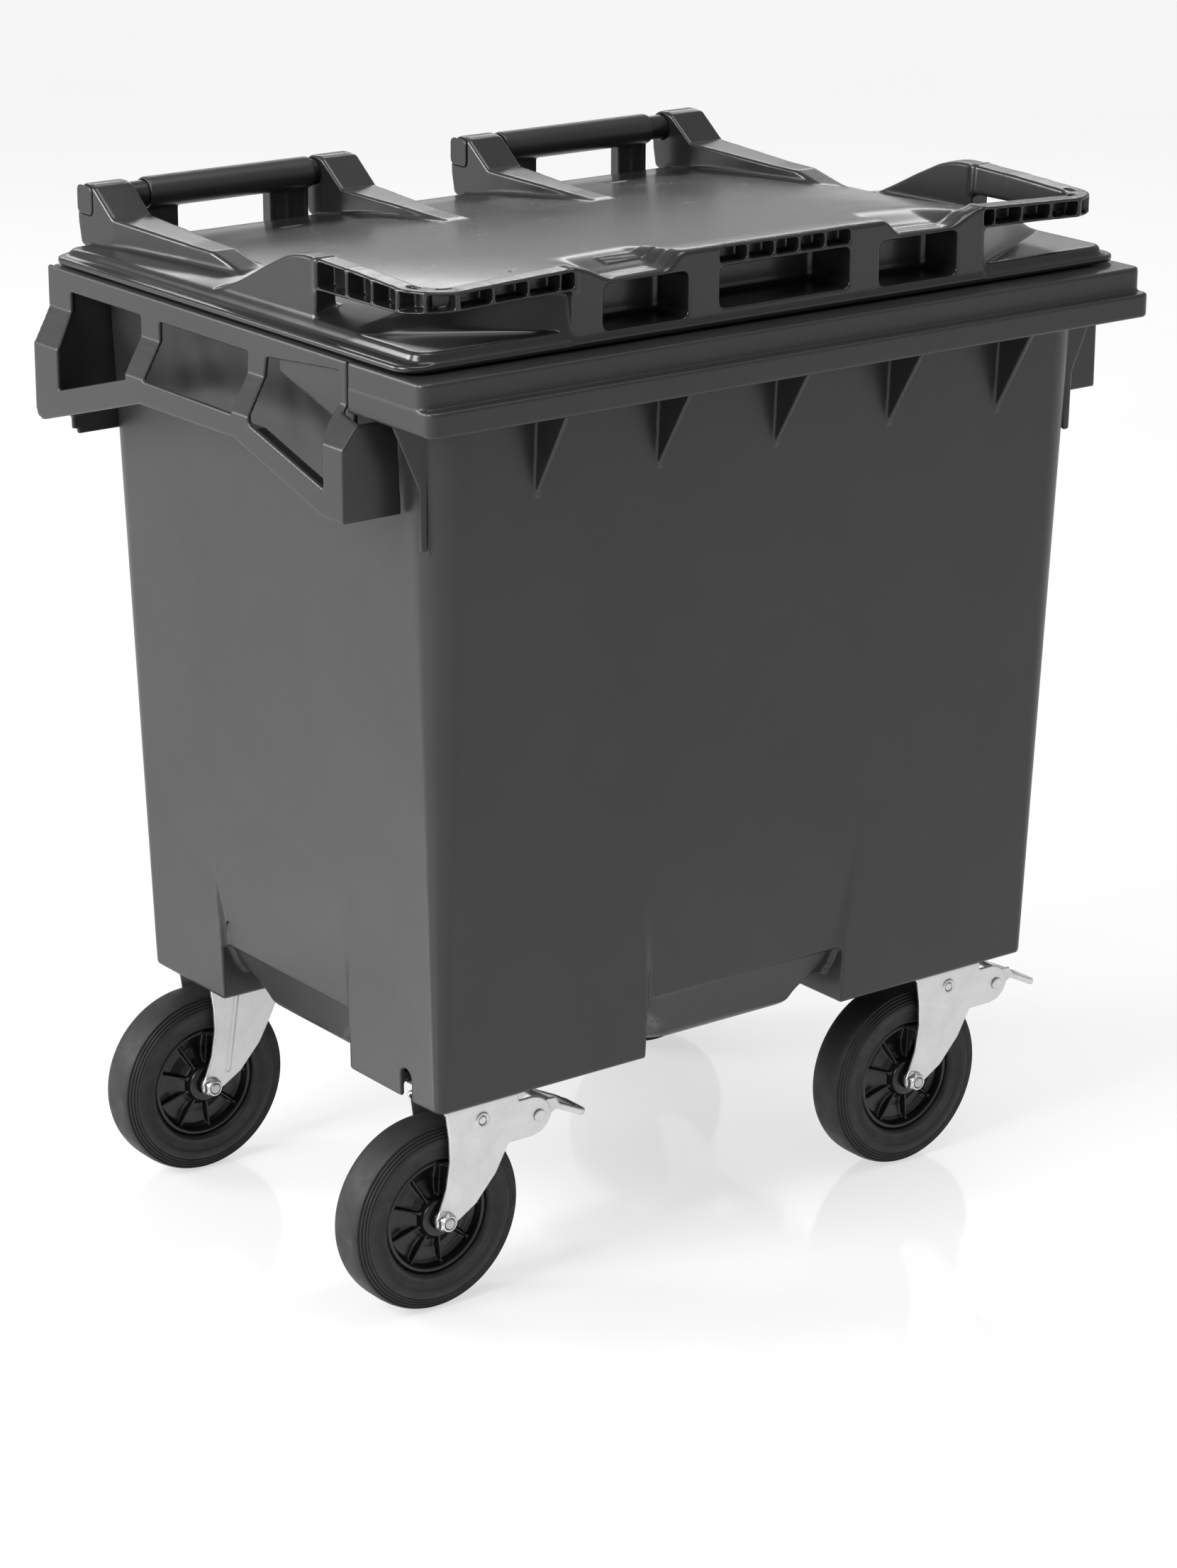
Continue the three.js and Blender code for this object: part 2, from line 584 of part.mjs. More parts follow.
// ---------------------------------------------------------------- castors
// Each castor is drawn round its own swivel axis, with the wheel trailing towards -X.
function castorPieces() {
  const topPlate = cut(
    prism('z', roundedRect(-68, 68, -42, 40, 8, 2), 233.1, CASTOR_SEAT - GAP),
    cylinder('z', [0, 0, 235], AXLE_R + GAP, 20, 16),
  );
  const ballRace = turned('z', [0, 0, 0], [
    [12, CROWN_TOP + GAP], [28, CROWN_TOP + GAP], [35, 226], [35, 232.8], [12, 232.8],
  ], 16);
  const kingpin = join(
    cylinder('z', [0, 0, 225], AXLE_R, 22, 16),
    cylinder('z', [0, 0, 213.5], 10, 7, 6),
  );
  const crown = cut(
    prism('z', roundedRect(-60, 31, -FORK_IN - FORK_SHEET, FORK_IN + FORK_SHEET, 9, 2), 212, CROWN_TOP),
    box(-70, 40, -FORK_IN, FORK_IN, 200, CROWN_TOP - FORK_SHEET),
    cylinder('z', [0, 0, 225], 7, 20, 16),
  );
  const legOutline = [
    [-60, 215], [-54.6, 186], [-54, 162], [-58.6, 133], [-66.5, 112], [-71, 102], [-69, 93], [-62, 89],
    [-54, 90], [-42, 97], [-22, 109], [2.5, 136], [16, 160], [28, 184], [31, 200], [31, 215],
  ];
  const leg = (side) => cut(
    prism('y', legOutline.map(([x, z]) => [z, x]), ...(side < 0
      ? [-FORK_IN - FORK_SHEET, -FORK_IN] : [FORK_IN, FORK_IN + FORK_SHEET])),
    cylinder('y', [-TRAIL, 0, WHEEL_R], AXLE_R + GAP, 90, 16),
  );
  const fork = join(crown, leg(-1), leg(1));

  // The tread's flats touch the wheel's radius, and one of them lies on the floor.
  const facets = 24;
  const treadR = WHEEL_R / Math.cos(Math.PI / facets);
  const tyre = turned('y', [-TRAIL, 0, WHEEL_R], [
    [61.8, -20], [90, -TREAD_HALF], [98, -21], [treadR, -13],
    [treadR, 13], [98, 21], [90, TREAD_HALF], [61.8, 20],
  ], facets, Math.PI / facets);
  const ribs = [];
  for (let i = 0; i < 8; i += 1) {
    const rib = box(18, 56, -15, 15, -1.5, 1.5);
    ribs.push(rib.rotate([0, i * 45 + 7.5, 0]).translate([-TRAIL, 0, WHEEL_R]));
  }
  const rimWeb = turned('y', [-TRAIL, 0, WHEEL_R], [
    [10.3, -24.5], [20, -24.5], [20, -4], [54, -4], [54, -18], [61.2, -18],
    [61.2, 18], [54, 18], [54, 4], [20, 4], [20, 24.5], [10.3, 24.5],
  ], 16);
  const rim = join(rimWeb, ...ribs);
  const bush = turned('y', [-TRAIL, 0, WHEEL_R], [
    [AXLE_R + 0.2, -29.2], [10.1, -29.2], [10.1, 29.2], [AXLE_R + 0.2, 29.2],
  ], 16);
  const nutGap = FORK_IN + FORK_SHEET + 0.1;
  const axle = join(
    cylinder('y', [-TRAIL, (nutGap - 42.9) / 2, WHEEL_R], AXLE_R, nutGap + 42.9, 16),
    cylinder('y', [-TRAIL, nutGap + 3.75, WHEEL_R], 10.8, 7.5, 6),
  );
  const nut = cut(
    join(
      cylinder('y', [-TRAIL, -nutGap - 4.2, WHEEL_R], 10.8, 7.8, 6),
      cylinder('y', [-TRAIL, -nutGap - 0.8, WHEEL_R], 11.5, 1.2, 16),
    ),
    cylinder('y', [-TRAIL, -nutGap - 4, WHEEL_R], AXLE_R + 0.2, 20, 16),
  );
  return { top_plate: topPlate, ball_race: ballRace, kingpin, fork, tyre, rim, bush, axle, nut };
}

// Brake of a front castor: a pedal loop on its own pin, the shoe that it drives on a pin through
// the fork's legs, and the ears on the legs that carry the pedal.
const PEDAL_X = 56;
const PEDAL_Z = 186;
const SHOE_X = -14.7;
const SHOE_Z = 198.4;
const BRAKE_PIN_R = 4;
const legSpans = [[-FORK_IN - FORK_SHEET, -FORK_IN], [FORK_IN, FORK_IN + FORK_SHEET]];

function brakePieces() {
  const pivot = (x, z, r, length) => cylinder('y', [x, 0, z], r, length, 12);
  const arms = [[-26, -22.5], [22.5, 26]].map(([y0, y1]) => prism('y', [
    [178, 49], [195, 49], [198, 58], [197, 82], [184, 86], [176, 66],
  ], y0, y1));
  const loop = cut(
    prism('z', roundedRect(-4, 52, -26, 26, 14, 3), -4, 4),
    prism('z', roundedRect(8, 43, -16, 16, 9, 3), -10, 10),
  ).rotate([0, 26, 0]).translate([80, 0, 189]);
  const pedal = cut(join(...arms, loop), pivot(PEDAL_X, PEDAL_Z, BRAKE_PIN_R + 0.3, 80));

  // The shoe's underside follows the tyre, closest at its pin.
  const outline = [[162, 34], [182, 39], [190, 42], [199, 42], [206, 10], [207, -12], [203, -26]];
  for (let i = 0; i <= 6; i += 1) {
    const angle = (70 - i * 5.7) * Math.PI / 180;
    const r = 102.4 + 2.8 * Math.min(1, i / 3);
    outline.push([WHEEL_R + r * Math.sin(angle), -TRAIL + r * Math.cos(angle)]);
  }
  const shoe = cut(prism('y', outline, -18, 18), pivot(SHOE_X, SHOE_Z, BRAKE_PIN_R + 0.3, 80));

  const ears = legSpans.map(([y0, y1]) => cut(
    prism('y', [[208, 26], [208, 50], [200, 66], [187, 72], [174, 66], [165, 50], [165, 17]], y0, y1),
    pivot(PEDAL_X, PEDAL_Z, BRAKE_PIN_R + 0.3, 90),
  ));
  const pin = pivot(SHOE_X, SHOE_Z, BRAKE_PIN_R, 70);
  const pedalPin = pivot(PEDAL_X, PEDAL_Z, BRAKE_PIN_R, 72);
  return { pedal, shoe, ears, pin, pedalPin, pinHole: pivot(SHOE_X, SHOE_Z, BRAKE_PIN_R + 0.3, 90) };
}

const castorSpots = {
  front_left: [-SWIVEL_X, -SWIVEL_Y],
  front_right: [SWIVEL_X, -SWIVEL_Y],
  rear_left: [-SWIVEL_X, SWIVEL_Y],
  rear_right: [SWIVEL_X, SWIVEL_Y],
};
const castorMaterial = {
  tyre: materials.tyre, rim: materials.rim, bush: materials.rim,
};
const pieces = castorPieces();
const brake = brakePieces();
for (const [spot, [x, y]] of Object.entries(castorSpots)) {
  const castor = new THREE.Group();
  castor.position.set(x, y, 0);
  object.add(castor);
  const braked = spot.startsWith('front');
  for (const [piece, solid] of Object.entries(pieces)) {
    const whole = piece === 'fork' && braked ? cut(join(solid, ...brake.ears), brake.pinHole) : solid;
    place(castor, `castor_${piece}_${spot}`, whole, castorMaterial[piece] || materials.zinc);
  }
  if (braked) {
    place(castor, `brake_pedal_${spot}`, brake.pedal, materials.zinc);
    place(castor, `brake_shoe_${spot}`, brake.shoe, materials.zinc);
    place(castor, `brake_pin_${spot}`, brake.pin, materials.zinc);
    place(castor, `brake_pedal_pin_${spot}`, brake.pedalPin, materials.zinc);
  }
}

export default root;
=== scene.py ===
"""Looks of the four-wheeled waste container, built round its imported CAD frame.

Shapes are worked out in millimetres as signed distances on a grid of lines, which gives moulded and
pressed parts their rounded edges, and become meshes in metres. Front is -Y, +Z is up.
"""
import functools
import json
import math

import bpy
import numpy as np
from mathutils import Matrix, Vector

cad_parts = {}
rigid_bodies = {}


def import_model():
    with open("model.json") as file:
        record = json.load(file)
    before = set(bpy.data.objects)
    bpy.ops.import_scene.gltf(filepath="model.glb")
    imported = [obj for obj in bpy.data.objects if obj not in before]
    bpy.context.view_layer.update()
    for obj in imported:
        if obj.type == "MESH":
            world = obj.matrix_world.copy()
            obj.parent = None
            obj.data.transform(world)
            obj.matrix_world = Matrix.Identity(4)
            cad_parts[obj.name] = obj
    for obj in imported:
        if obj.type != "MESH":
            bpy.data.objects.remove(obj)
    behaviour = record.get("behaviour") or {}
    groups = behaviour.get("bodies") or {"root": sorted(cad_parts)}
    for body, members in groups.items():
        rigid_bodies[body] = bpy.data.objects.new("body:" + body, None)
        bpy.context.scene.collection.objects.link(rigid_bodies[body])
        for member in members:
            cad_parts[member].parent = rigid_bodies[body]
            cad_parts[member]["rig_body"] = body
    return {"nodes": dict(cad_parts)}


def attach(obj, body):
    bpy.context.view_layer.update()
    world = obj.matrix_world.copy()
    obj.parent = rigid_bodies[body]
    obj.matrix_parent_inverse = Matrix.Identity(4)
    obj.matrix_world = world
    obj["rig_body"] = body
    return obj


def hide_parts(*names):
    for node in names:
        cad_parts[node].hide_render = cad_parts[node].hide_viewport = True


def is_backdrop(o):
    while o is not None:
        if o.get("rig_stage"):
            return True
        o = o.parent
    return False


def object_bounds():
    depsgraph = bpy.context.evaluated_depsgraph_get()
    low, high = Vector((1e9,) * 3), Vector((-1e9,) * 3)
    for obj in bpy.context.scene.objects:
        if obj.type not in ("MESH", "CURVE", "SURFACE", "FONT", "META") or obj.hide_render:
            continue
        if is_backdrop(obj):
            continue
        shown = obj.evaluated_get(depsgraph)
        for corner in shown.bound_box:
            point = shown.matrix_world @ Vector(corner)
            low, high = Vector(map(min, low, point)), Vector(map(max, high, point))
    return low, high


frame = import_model()
cad_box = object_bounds()

MM = 0.001
COARSE = 1.0      # quick drafts use a wider grid


# ---------------- driving dimensions, as in the frame
GAP = 0.3
WALL = 5
RIM_HALF_WIDTH = 452.2
RIM_FRONT = -355.6
RIM_STEP_FRONT = -341.6
RIM_REAR = 331
RIM_BOTTOM = 934.3
RIM_STEP = 959.3
RIM_TOP = 983.9
GUSSET_PITCH = 146.1
FOOT_BOTTOM = 222.8
CASTOR_SEAT = 237.2
BELLY_BOTTOM = 212
BELLY_TOP = 285
FOOT_X = 129
FOOT_FRONT_Y = -111
FOOT_REAR_Y = 126
FRAME_OUT = 478.5
FRAME_FRONT = -249
FRAME_SEAM = -217.7
HINGE_Y = 339
HINGE_Z = 1043
BARREL_R = 16.8
PIN_R = 13.4
BARREL = (125.5, 330)
ARM_OUTER = (352.4, 400)
ARM_INNER = (72.4, 119)
ARM_R = 17.5
LID_HALF_WIDTH = 449
LID_FRONT = -312
LID_REAR = 333
LID_BOTTOM = 986
SHELL_HALF_WIDTH = 432
LID_SKIN = 4
RAIL_X = 427
RAIL_WIDTH = 24
CORNER_R = 46
RAIL_TURN_X = RAIL_X - CORNER_R
RAIL_TURN_Y = LID_FRONT + CORNER_R
GRIP_END = 254
TUB_HALF_X = 388                         # at the feet, with the growth up to the rim
TUB_HALF_Y = 267.7
TUB_CORNER_R = 10
TUB_GROWTH = (27, 39.2, 38)
SWIVEL_X = 309.9
SWIVEL_Y = 218.7
TRAIL = 60.4
WHEEL_R = 100
FORK_IN = 29.5
FORK_SHEET = 4
AXLE_R = 6
CROWN_TOP = 221.5
PEDAL_X = 56
PEDAL_Z = 186
SHOE_X = -14.7
SHOE_Z = 198.4
BRAKE_PIN_R = 4
CENTRE_Y = -(RIM_FRONT + HINGE_Y + ARM_R) / 2


# ---------------- shapes as signed distances
FAR = 12.0


def steps(*spans):
    """A rising list of grid lines through (start, stop, step) spans."""
    parts = [np.arange(start, stop, step * COARSE) for start, stop, step in spans]
    return np.append(np.concatenate(parts), spans[-1][1])


def mirrored(*spans):
    """Grid lines from spans of positive values, and the same on the negative side."""
    right = steps(*spans)
    return np.concatenate([-right[:0:-1], right])


class Field:
    """A solid as signed distances in millimetres on a grid of lines, negative inside."""

    def __init__(self, xs, ys, zs):
        self.lines = [np.asarray(line, float) for line in (xs, ys, zs)]
        self.values = np.full([len(line) for line in self.lines], FAR, np.float32)
        self.room = None                 # a second field, whose inside is hollow

    def _apply(self, shape, combine):
        bounds, distance = shape
        window = tuple(
            slice(*np.searchsorted(line, [low - FAR - 1, high + FAR + 1]))
            for line, (low, high) in zip(self.lines, bounds)
        )
        x, y, z = (line[cut] for line, cut in zip(self.lines, window))
        if min(len(x), len(y), len(z)) == 0:
            return
        d = distance(x[:, None, None], y[None, :, None], z[None, None, :])
        self.values[window] = combine(self.values[window], np.clip(d, -FAR, FAR))

    def add(self, *shapes):
        for shape in shapes:
            self._apply(shape, np.minimum)

    def cut(self, *shapes):
        for shape in shapes:
            self._apply(shape, lambda old, d: np.maximum(old, -d))

    def blend(self, shape, fillet):
        """Adds a shape with a round fillet where it meets what is there."""
        def combine(old, d):
            h = np.maximum(fillet - np.abs(old - d), 0)
            return np.minimum(old, d) - h * h / (4 * fillet)
        self._apply(shape, combine)

    def soften(self, spread, passes=2):
        """Rounds every edge, as a mould does, by spreading the distances over a length."""
        spread = max(spread, 0.7 * COARSE)
        for _ in range(passes):
            for axis, line in enumerate(self.lines):
                before, after = np.diff(line)[:-1], np.diff(line)[1:]
                share = np.minimum(spread ** 2 / passes, before * after / 2)
                shape = [1, 1, 1]
                shape[axis] = -1
                low = (share / (before * (before + after))).reshape(shape).astype(np.float32)
                high = (share / (after * (before + after))).reshape(shape).astype(np.float32)
                v = np.moveaxis(self.values, axis, 0)
                low, high = np.moveaxis(low, axis, 0), np.moveaxis(high, axis, 0)
                v[1:-1] = v[1:-1] * (1 - low - high) + v[:-2] * low + v[2:] * high

    def sample(self, points):
        """Distances at points, read between the grid's lines."""
        index, share = [], []
        for line, p in zip(self.lines, points.T):
            i = np.clip(np.searchsorted(line, p) - 1, 0, len(line) - 2)
            index.append(i)
            share.append(np.clip((p - line[i]) / (line[i + 1] - line[i]), 0, 1))
        total = np.zeros(len(points))
        for corner in np.ndindex(2, 2, 2):
            weight = np.ones(len(points))
            for s, c in zip(share, corner):
                weight = weight * (s if c else 1 - s)
            total += weight * self.values[tuple(i + c for i, c in zip(index, corner))]
        return total

    def normals(self, points, reach=0.7):
        slope = np.stack([
            self.sample(points + reach * step) - self.sample(points - reach * step)
            for step in np.eye(3)
        ], axis=1)
        slope /= np.maximum(np.linalg.norm(slope, axis=1, keepdims=True), 1e-9)
        if self.room:
            inner = np.abs(self.room.sample(points)) < np.abs(self.sample(points))
            slope[inner] = -self.room.normals(points[inner], reach)
        return slope

    def surface(self):
        """Vertices and quads where the distance is zero, one vertex in each crossed grid cell."""
        v = np.maximum(self.values, -self.room.values) if self.room else self.values
        inside = v < 0
        cells = np.array(v.shape) - 1
        quads, owners, crossings = [], [], []
        for axis in range(3):
            near = [slice(None)] * 3
            far = [slice(None)] * 3
            near[axis], far[axis] = slice(None, -1), slice(1, None)
            near, far = tuple(near), tuple(far)
            hits = np.argwhere(inside[near] != inside[far])
            b, c = [(axis + 1) % 3, (axis + 2) % 3]
            ok = (hits[:, b] > 0) & (hits[:, b] < v.shape[b] - 1)
            ok &= (hits[:, c] > 0) & (hits[:, c] < v.shape[c] - 1)
            hits = hits[ok]
            ahead = hits.copy()
            ahead[:, axis] += 1
            v0, v1 = v[tuple(hits.T)], v[tuple(ahead.T)]
            place = np.stack([line[i] for line, i in zip(self.lines, hits.T)], axis=1)
            span = self.lines[axis][ahead[:, axis]] - self.lines[axis][hits[:, axis]]
            place[:, axis] += span * v0 / (v0 - v1)
            around = []
            for db, dc in ((-1, -1), (0, -1), (0, 0), (-1, 0)):
                cell = hits.copy()
                cell[:, b] += db
                cell[:, c] += dc
                ids = np.ravel_multi_index(cell.T, cells)
                around.append(ids)
                owners.append(ids)
                crossings.append(place)
            quad = np.stack(around, axis=1)
            turned = v0 >= 0
            quad[turned] = quad[turned, ::-1]
            quads.append(quad)
        owners = np.concatenate(owners)
        crossings = np.concatenate(crossings)
        used, inverse = np.unique(owners, return_inverse=True)
        count = np.bincount(inverse)
        points = np.stack([np.bincount(inverse, crossings[:, k]) / count for k in range(3)], axis=1)
        table = np.searchsorted(used, np.concatenate(quads))
        return points, table


def smooth(a, b, v):
    """0 before a, 1 past b and an S between them."""
    t = np.clip((v - a) / (b - a), 0, 1)
    return t * t * (3 - 2 * t)


def most(*values):
    return functools.reduce(np.maximum, values)


def stretch(v, low, high):
    """Signed distance along an axis to the stretch between two places."""
    return np.abs(v - (low + high) / 2) - (high - low) / 2


def block(x, y, z, r=0.0):
    """A box between (low, high) pairs, with edges rounded to r."""
    spans = (x, y, z)

    def distance(*p):
        q = [stretch(v, *span) + r for v, span in zip(p, spans)]
        outside = np.sqrt(sum(np.maximum(v, 0) ** 2 for v in q))
        return outside + np.minimum(np.maximum(np.maximum(q[0], q[1]), q[2]), 0) - r
    return spans, distance


def polygon(outline, u, v):
    """Signed distance to a closed outline of (u, v) points."""
    near = np.full(np.broadcast(u, v).shape, 1e9)
    inside = np.zeros(near.shape, bool)
    for (au, av), (bu, bv) in zip(outline, outline[1:] + outline[:1]):
        eu, ev = bu - au, bv - av
        pu, pv = u - au, v - av
        t = np.clip((pu * eu + pv * ev) / (eu * eu + ev * ev), 0, 1)
        near = np.minimum(near, (pu - t * eu) ** 2 + (pv - t * ev) ** 2)
        if ev:
            crosses = (av > v) != (bv > v)
            inside ^= crosses & (u < eu * pv / ev + au)
    return np.where(inside, -1, 1) * np.sqrt(near)


def extruded(flat, along, r):
    """Joins a flat distance and a distance along an axis into a solid with rounded end edges."""
    a, b = flat + r, along + r
    return np.sqrt(np.maximum(a, 0) ** 2 + np.maximum(b, 0) ** 2) + np.minimum(np.maximum(a, b), 0) - r


def prism(axis, outline, low, high, r=0.0):
    """An outline pushed along an axis: pairs are (y, z) for x, (x, z) for y and (x, y) for z."""
    k = "xyz".index(axis)
    others = [i for i in range(3) if i != k]
    spans = [None] * 3
    spans[k] = (low, high)
    for j, i in enumerate(others):
        values = [p[j] for p in outline]
        spans[i] = (min(values), max(values))

    def distance(*p):
        flat = polygon(outline, p[others[0]], p[others[1]])
        return extruded(flat, stretch(p[k], low, high), r)
    return spans, distance


def rod(axis, centre, radius, length, r=0.0):
    """A round bar along an axis, centred on a point."""
    k = "xyz".index(axis)
    others = [i for i in range(3) if i != k]
    spans = [(c - radius, c + radius) for c in centre]
    spans[k] = (centre[k] - length / 2, centre[k] + length / 2)

    def distance(*p):
        flat = np.hypot(p[others[0]] - centre[others[0]], p[others[1]] - centre[others[1]]) - radius
        return extruded(flat, np.abs(p[k] - centre[k]) - length / 2, r)
    return spans, distance


def turned(axis, centre, outline, r=0.0):
    """A closed (radius, height) outline turned round an axis through a point."""
    k = "xyz".index(axis)
    others = [i for i in range(3) if i != k]
    reach = max(p[0] for p in outline)
    spans = [(c - reach, c + reach) for c in centre]
    spans[k] = tuple(centre[k] + h for h in (min(p[1] for p in outline), max(p[1] for p in outline)))

    def distance(*p):
        radius = np.hypot(p[others[0]] - centre[others[0]], p[others[1]] - centre[others[1]])
        return polygon(outline, radius, p[k] - centre[k]) - r
    return spans, distance


def plan(x, y, r, px, py):
    """Signed distance in plan to a rounded rectangle; the sizes may change with height."""
    qx = stretch(px, *x) + r
    qy = stretch(py, *y) + r
    return np.hypot(np.maximum(qx, 0), np.maximum(qy, 0)) + np.minimum(np.maximum(qx, qy), 0) - r


def slab(x, y, z, corner, r=0.0):
    """A plate between heights with rounded corners in plan and edges rounded to r."""
    def distance(px, py, pz):
        flat = plan(x, y, corner, px, py)
        return extruded(flat, stretch(pz, *z), r)
    return (x, y, z), distance


def flipped(shape):
    """The same shape on the other side of the middle plane."""
    ((x0, x1), y, z), distance = shape
    return ((-x1, -x0), y, z), lambda px, py, pz: distance(-px, py, pz)


def both(*shapes):
    return [*shapes, *(flipped(shape) for shape in shapes)]


def within(shape, other):
    """What two shapes share."""
    (spans, one), (spans_2, two) = shape, other
    shared = tuple((max(a[0], b[0]), min(a[1], b[1])) for a, b in zip(spans, spans_2))
    return shared, lambda *p: np.maximum(one(*p), two(*p))


# ---------------- tub
def skin_wall(low, high, inset=0.0):
    """The tub's tapered body between heights, drawn in by an inset: a number or a rule of x, y, z."""
    def distance(x, y, z):
        t = (z - FOOT_BOTTOM) / (RIM_TOP - FOOT_BOTTOM)
        by = inset(x, y, z) if callable(inset) else inset
        half_x, half_y, r = (
            size + growth * t - by
            for size, growth in zip((TUB_HALF_X, TUB_HALF_Y, TUB_CORNER_R), TUB_GROWTH)
        )
        r = np.maximum(r, 4)
        return np.maximum(plan((-half_x, half_x), (-half_y, half_y), r, x, y), stretch(z, low, high))
    return ((-416, 416), (-308, 308), (low, high)), distance


def recess(x, y, z):
    """How far the walls stand back between the feet, fading out upwards."""
    low = np.clip((398 - z) / 112, 0, 1)
    spread = 13 * (1 - low) ** 1.5
    front = 1 - smooth(FOOT_X - 6 + spread, FOOT_X + 3 + spread, np.abs(x))
    side = smooth(FOOT_FRONT_Y - 3 - spread, FOOT_FRONT_Y + 6 - spread, y)
    side = side * (1 - smooth(FOOT_REAR_Y - 6 + spread, FOOT_REAR_Y + 3 + spread, y))
    return 6.5 * low ** 1.4 * np.maximum(front, side)


def trough(half_x, y_span, in_x, in_y, r):
    """A hanging trough whose long sides lean in and whose ends sweep down in an S."""
    top, floor = BELLY_TOP, BELLY_BOTTOM
    middle, half_y = sum(y_span) / 2, (y_span[1] - y_span[0]) / 2

    def distance(x, y, z):
        t = np.clip((top - z) / (top - floor), 0, 1)
        lean = 0.45 * t + 0.55 * np.clip((t - 0.7) / 0.3, 0, 1) ** 2
        sweep = 0.85 * smooth(0.1, 0.75, t) + 0.15 * t ** 3
        by_x, by_y = (sweep, lean) if half_x < half_y else (lean, sweep)
        reach_x, reach_y = half_x - in_x * by_x, half_y - in_y * by_y
        flat = plan((-reach_x, reach_x), (-reach_y, reach_y), r, x, y - middle)
        return most(flat, z - top - 20, floor - z)
    return ((-half_x, half_x), y_span, (floor, top + 20)), distance


def foot_boxes(low, high, by=0.0):
    """Boxes round the four corners, whose inner upright edges are rounded."""
    front = slab((FOOT_X + by, 440), (-340, FOOT_FRONT_Y - by), (low, high), 14 - by)
    rear = slab((FOOT_X + by, 440), (FOOT_REAR_Y + by, 340), (low, high), 14 - by)
    return both(front, rear)


def tub_field():
    xs = mirrored((0, 10, 2), (10, 76, 8), (76, 160, 2.2), (160, 282, 8), (282, 302, 2.4),
                  (302, 380, 2.2), (380, 459, 1.9))
    ys = steps((-361.1, -258, 1.9), (-258, -192, 2.2), (-192, -130, 8), (-130, -52, 2.3), (-52, 66, 8),
               (66, 144, 2.3), (144, 192, 8), (192, 258, 2.2), (258, 337, 1.9))
    zs = steps((204.3, 300, 2.1), (300, 802, 36), (802, 990, 1.9))
    field = Field(xs, ys, zs)

    def underside(x, y, z):
        return recess(x, y, z) + np.interp(z, [250, 266, 280, 285], [24, 13, 7, 4])
    field.add(skin_wall(284, 1100, recess), skin_wall(250, 305, underside))
    for corner in foot_boxes(CASTOR_SEAT, 300):
        field.add(within(skin_wall(CASTOR_SEAT, 300), corner))
    field.add(trough(127, (-260, 260), 44, 56, 12), trough(379, (-110, 124), 56, 44, 12))
    field.room = Field(xs, ys, zs)
    field.room.values = field.values + WALL
    for corner, hollow in zip(foot_boxes(FOOT_BOTTOM, 252), foot_boxes(200, CASTOR_SEAT, WALL)):
        skirt = within(skin_wall(FOOT_BOTTOM, 252), corner)
        room = within(skin_wall(200, CASTOR_SEAT, WALL), hollow)
        field.add(within(skirt, outside(room)))
    field.cut(block((-440, 440), (-330, 330), (RIM_TOP, 1100)))

    # Stepped rim, hollow underneath.
    def ring(front, half, z_low, z_high, by, r):
        return slab((-half + by, half - by), (front + by, RIM_REAR - by), (z_low, z_high), 12 - by / 2, r)
    rim = Field(xs, ys, zs)
    rim.add(ring(RIM_FRONT, RIM_HALF_WIDTH, RIM_BOTTOM, RIM_STEP, 0, 2.2))
    rim.add(ring(RIM_STEP_FRONT, RIM_HALF_WIDTH - 0.5, RIM_STEP - 10, RIM_TOP, 0, 2.8))
    rim.cut(ring(RIM_FRONT, RIM_HALF_WIDTH, RIM_BOTTOM - 30, RIM_STEP - WALL, WALL, 0))
    rim.cut(ring(RIM_STEP_FRONT, RIM_HALF_WIDTH, RIM_BOTTOM - 30, RIM_TOP - WALL, WALL, 0))
    rim.cut(*both(
        block((RIM_HALF_WIDTH - WALL - GAP, 500), (FRAME_SEAM - GAP, 340), (900, 1000)),
        block((405, 500), (FRAME_SEAM - GAP, 340), (900, RIM_TOP - WALL)),
    ))
    inner = skin_wall(780, 1100, WALL)
    field.values = np.minimum(field.values, rim.values)

    # Gussets under the front rim, one at each front corner, and the webs inside the frames.
    for i in range(-2, 3):
        tip = 838 if abs(i) == 2 else 845
        x = i * GUSSET_PITCH
        web = prism("x", [(-296, tip), (-353, RIM_BOTTOM + 3), (-353, 953), (-296, 975)], x - 2.5, x + 2.5)
        field.add(within(web, outside(inner)))
    corner_web = prism("y", [
        (405, 806), (413, 806), (415, 868), (446, RIM_BOTTOM + 2), (446, 970), (405, 970),
    ], -282.5, -277.5)
    side_web = prism("x", [(-92, 950), (-92, 979), (-222, 979), (-222, 918), (-197, 918)], 441, 446)
    field.add(*both(side_web, within(corner_web, outside(inner))))

    field.cut(block((-402, -368), (-220, -202), (200, 246)), rod("x", (-385, -211, 246), 9, 34))
    for post in ((126, 176.5), (289, 330)):
        field.cut(*both(block(post, (316, 345), (955, 1000))))
    field.room.cut(*both(block((-402, -364), (-225, -197), (200, CASTOR_SEAT + 12))))
    field.soften(1.15)
    field.room.soften(1.15)
    return field


def outside(shape):
    """Everything but a shape."""
    everywhere = ((-1e4, 1e4),) * 3
    return everywhere, lambda *p: -shape[1](*p)


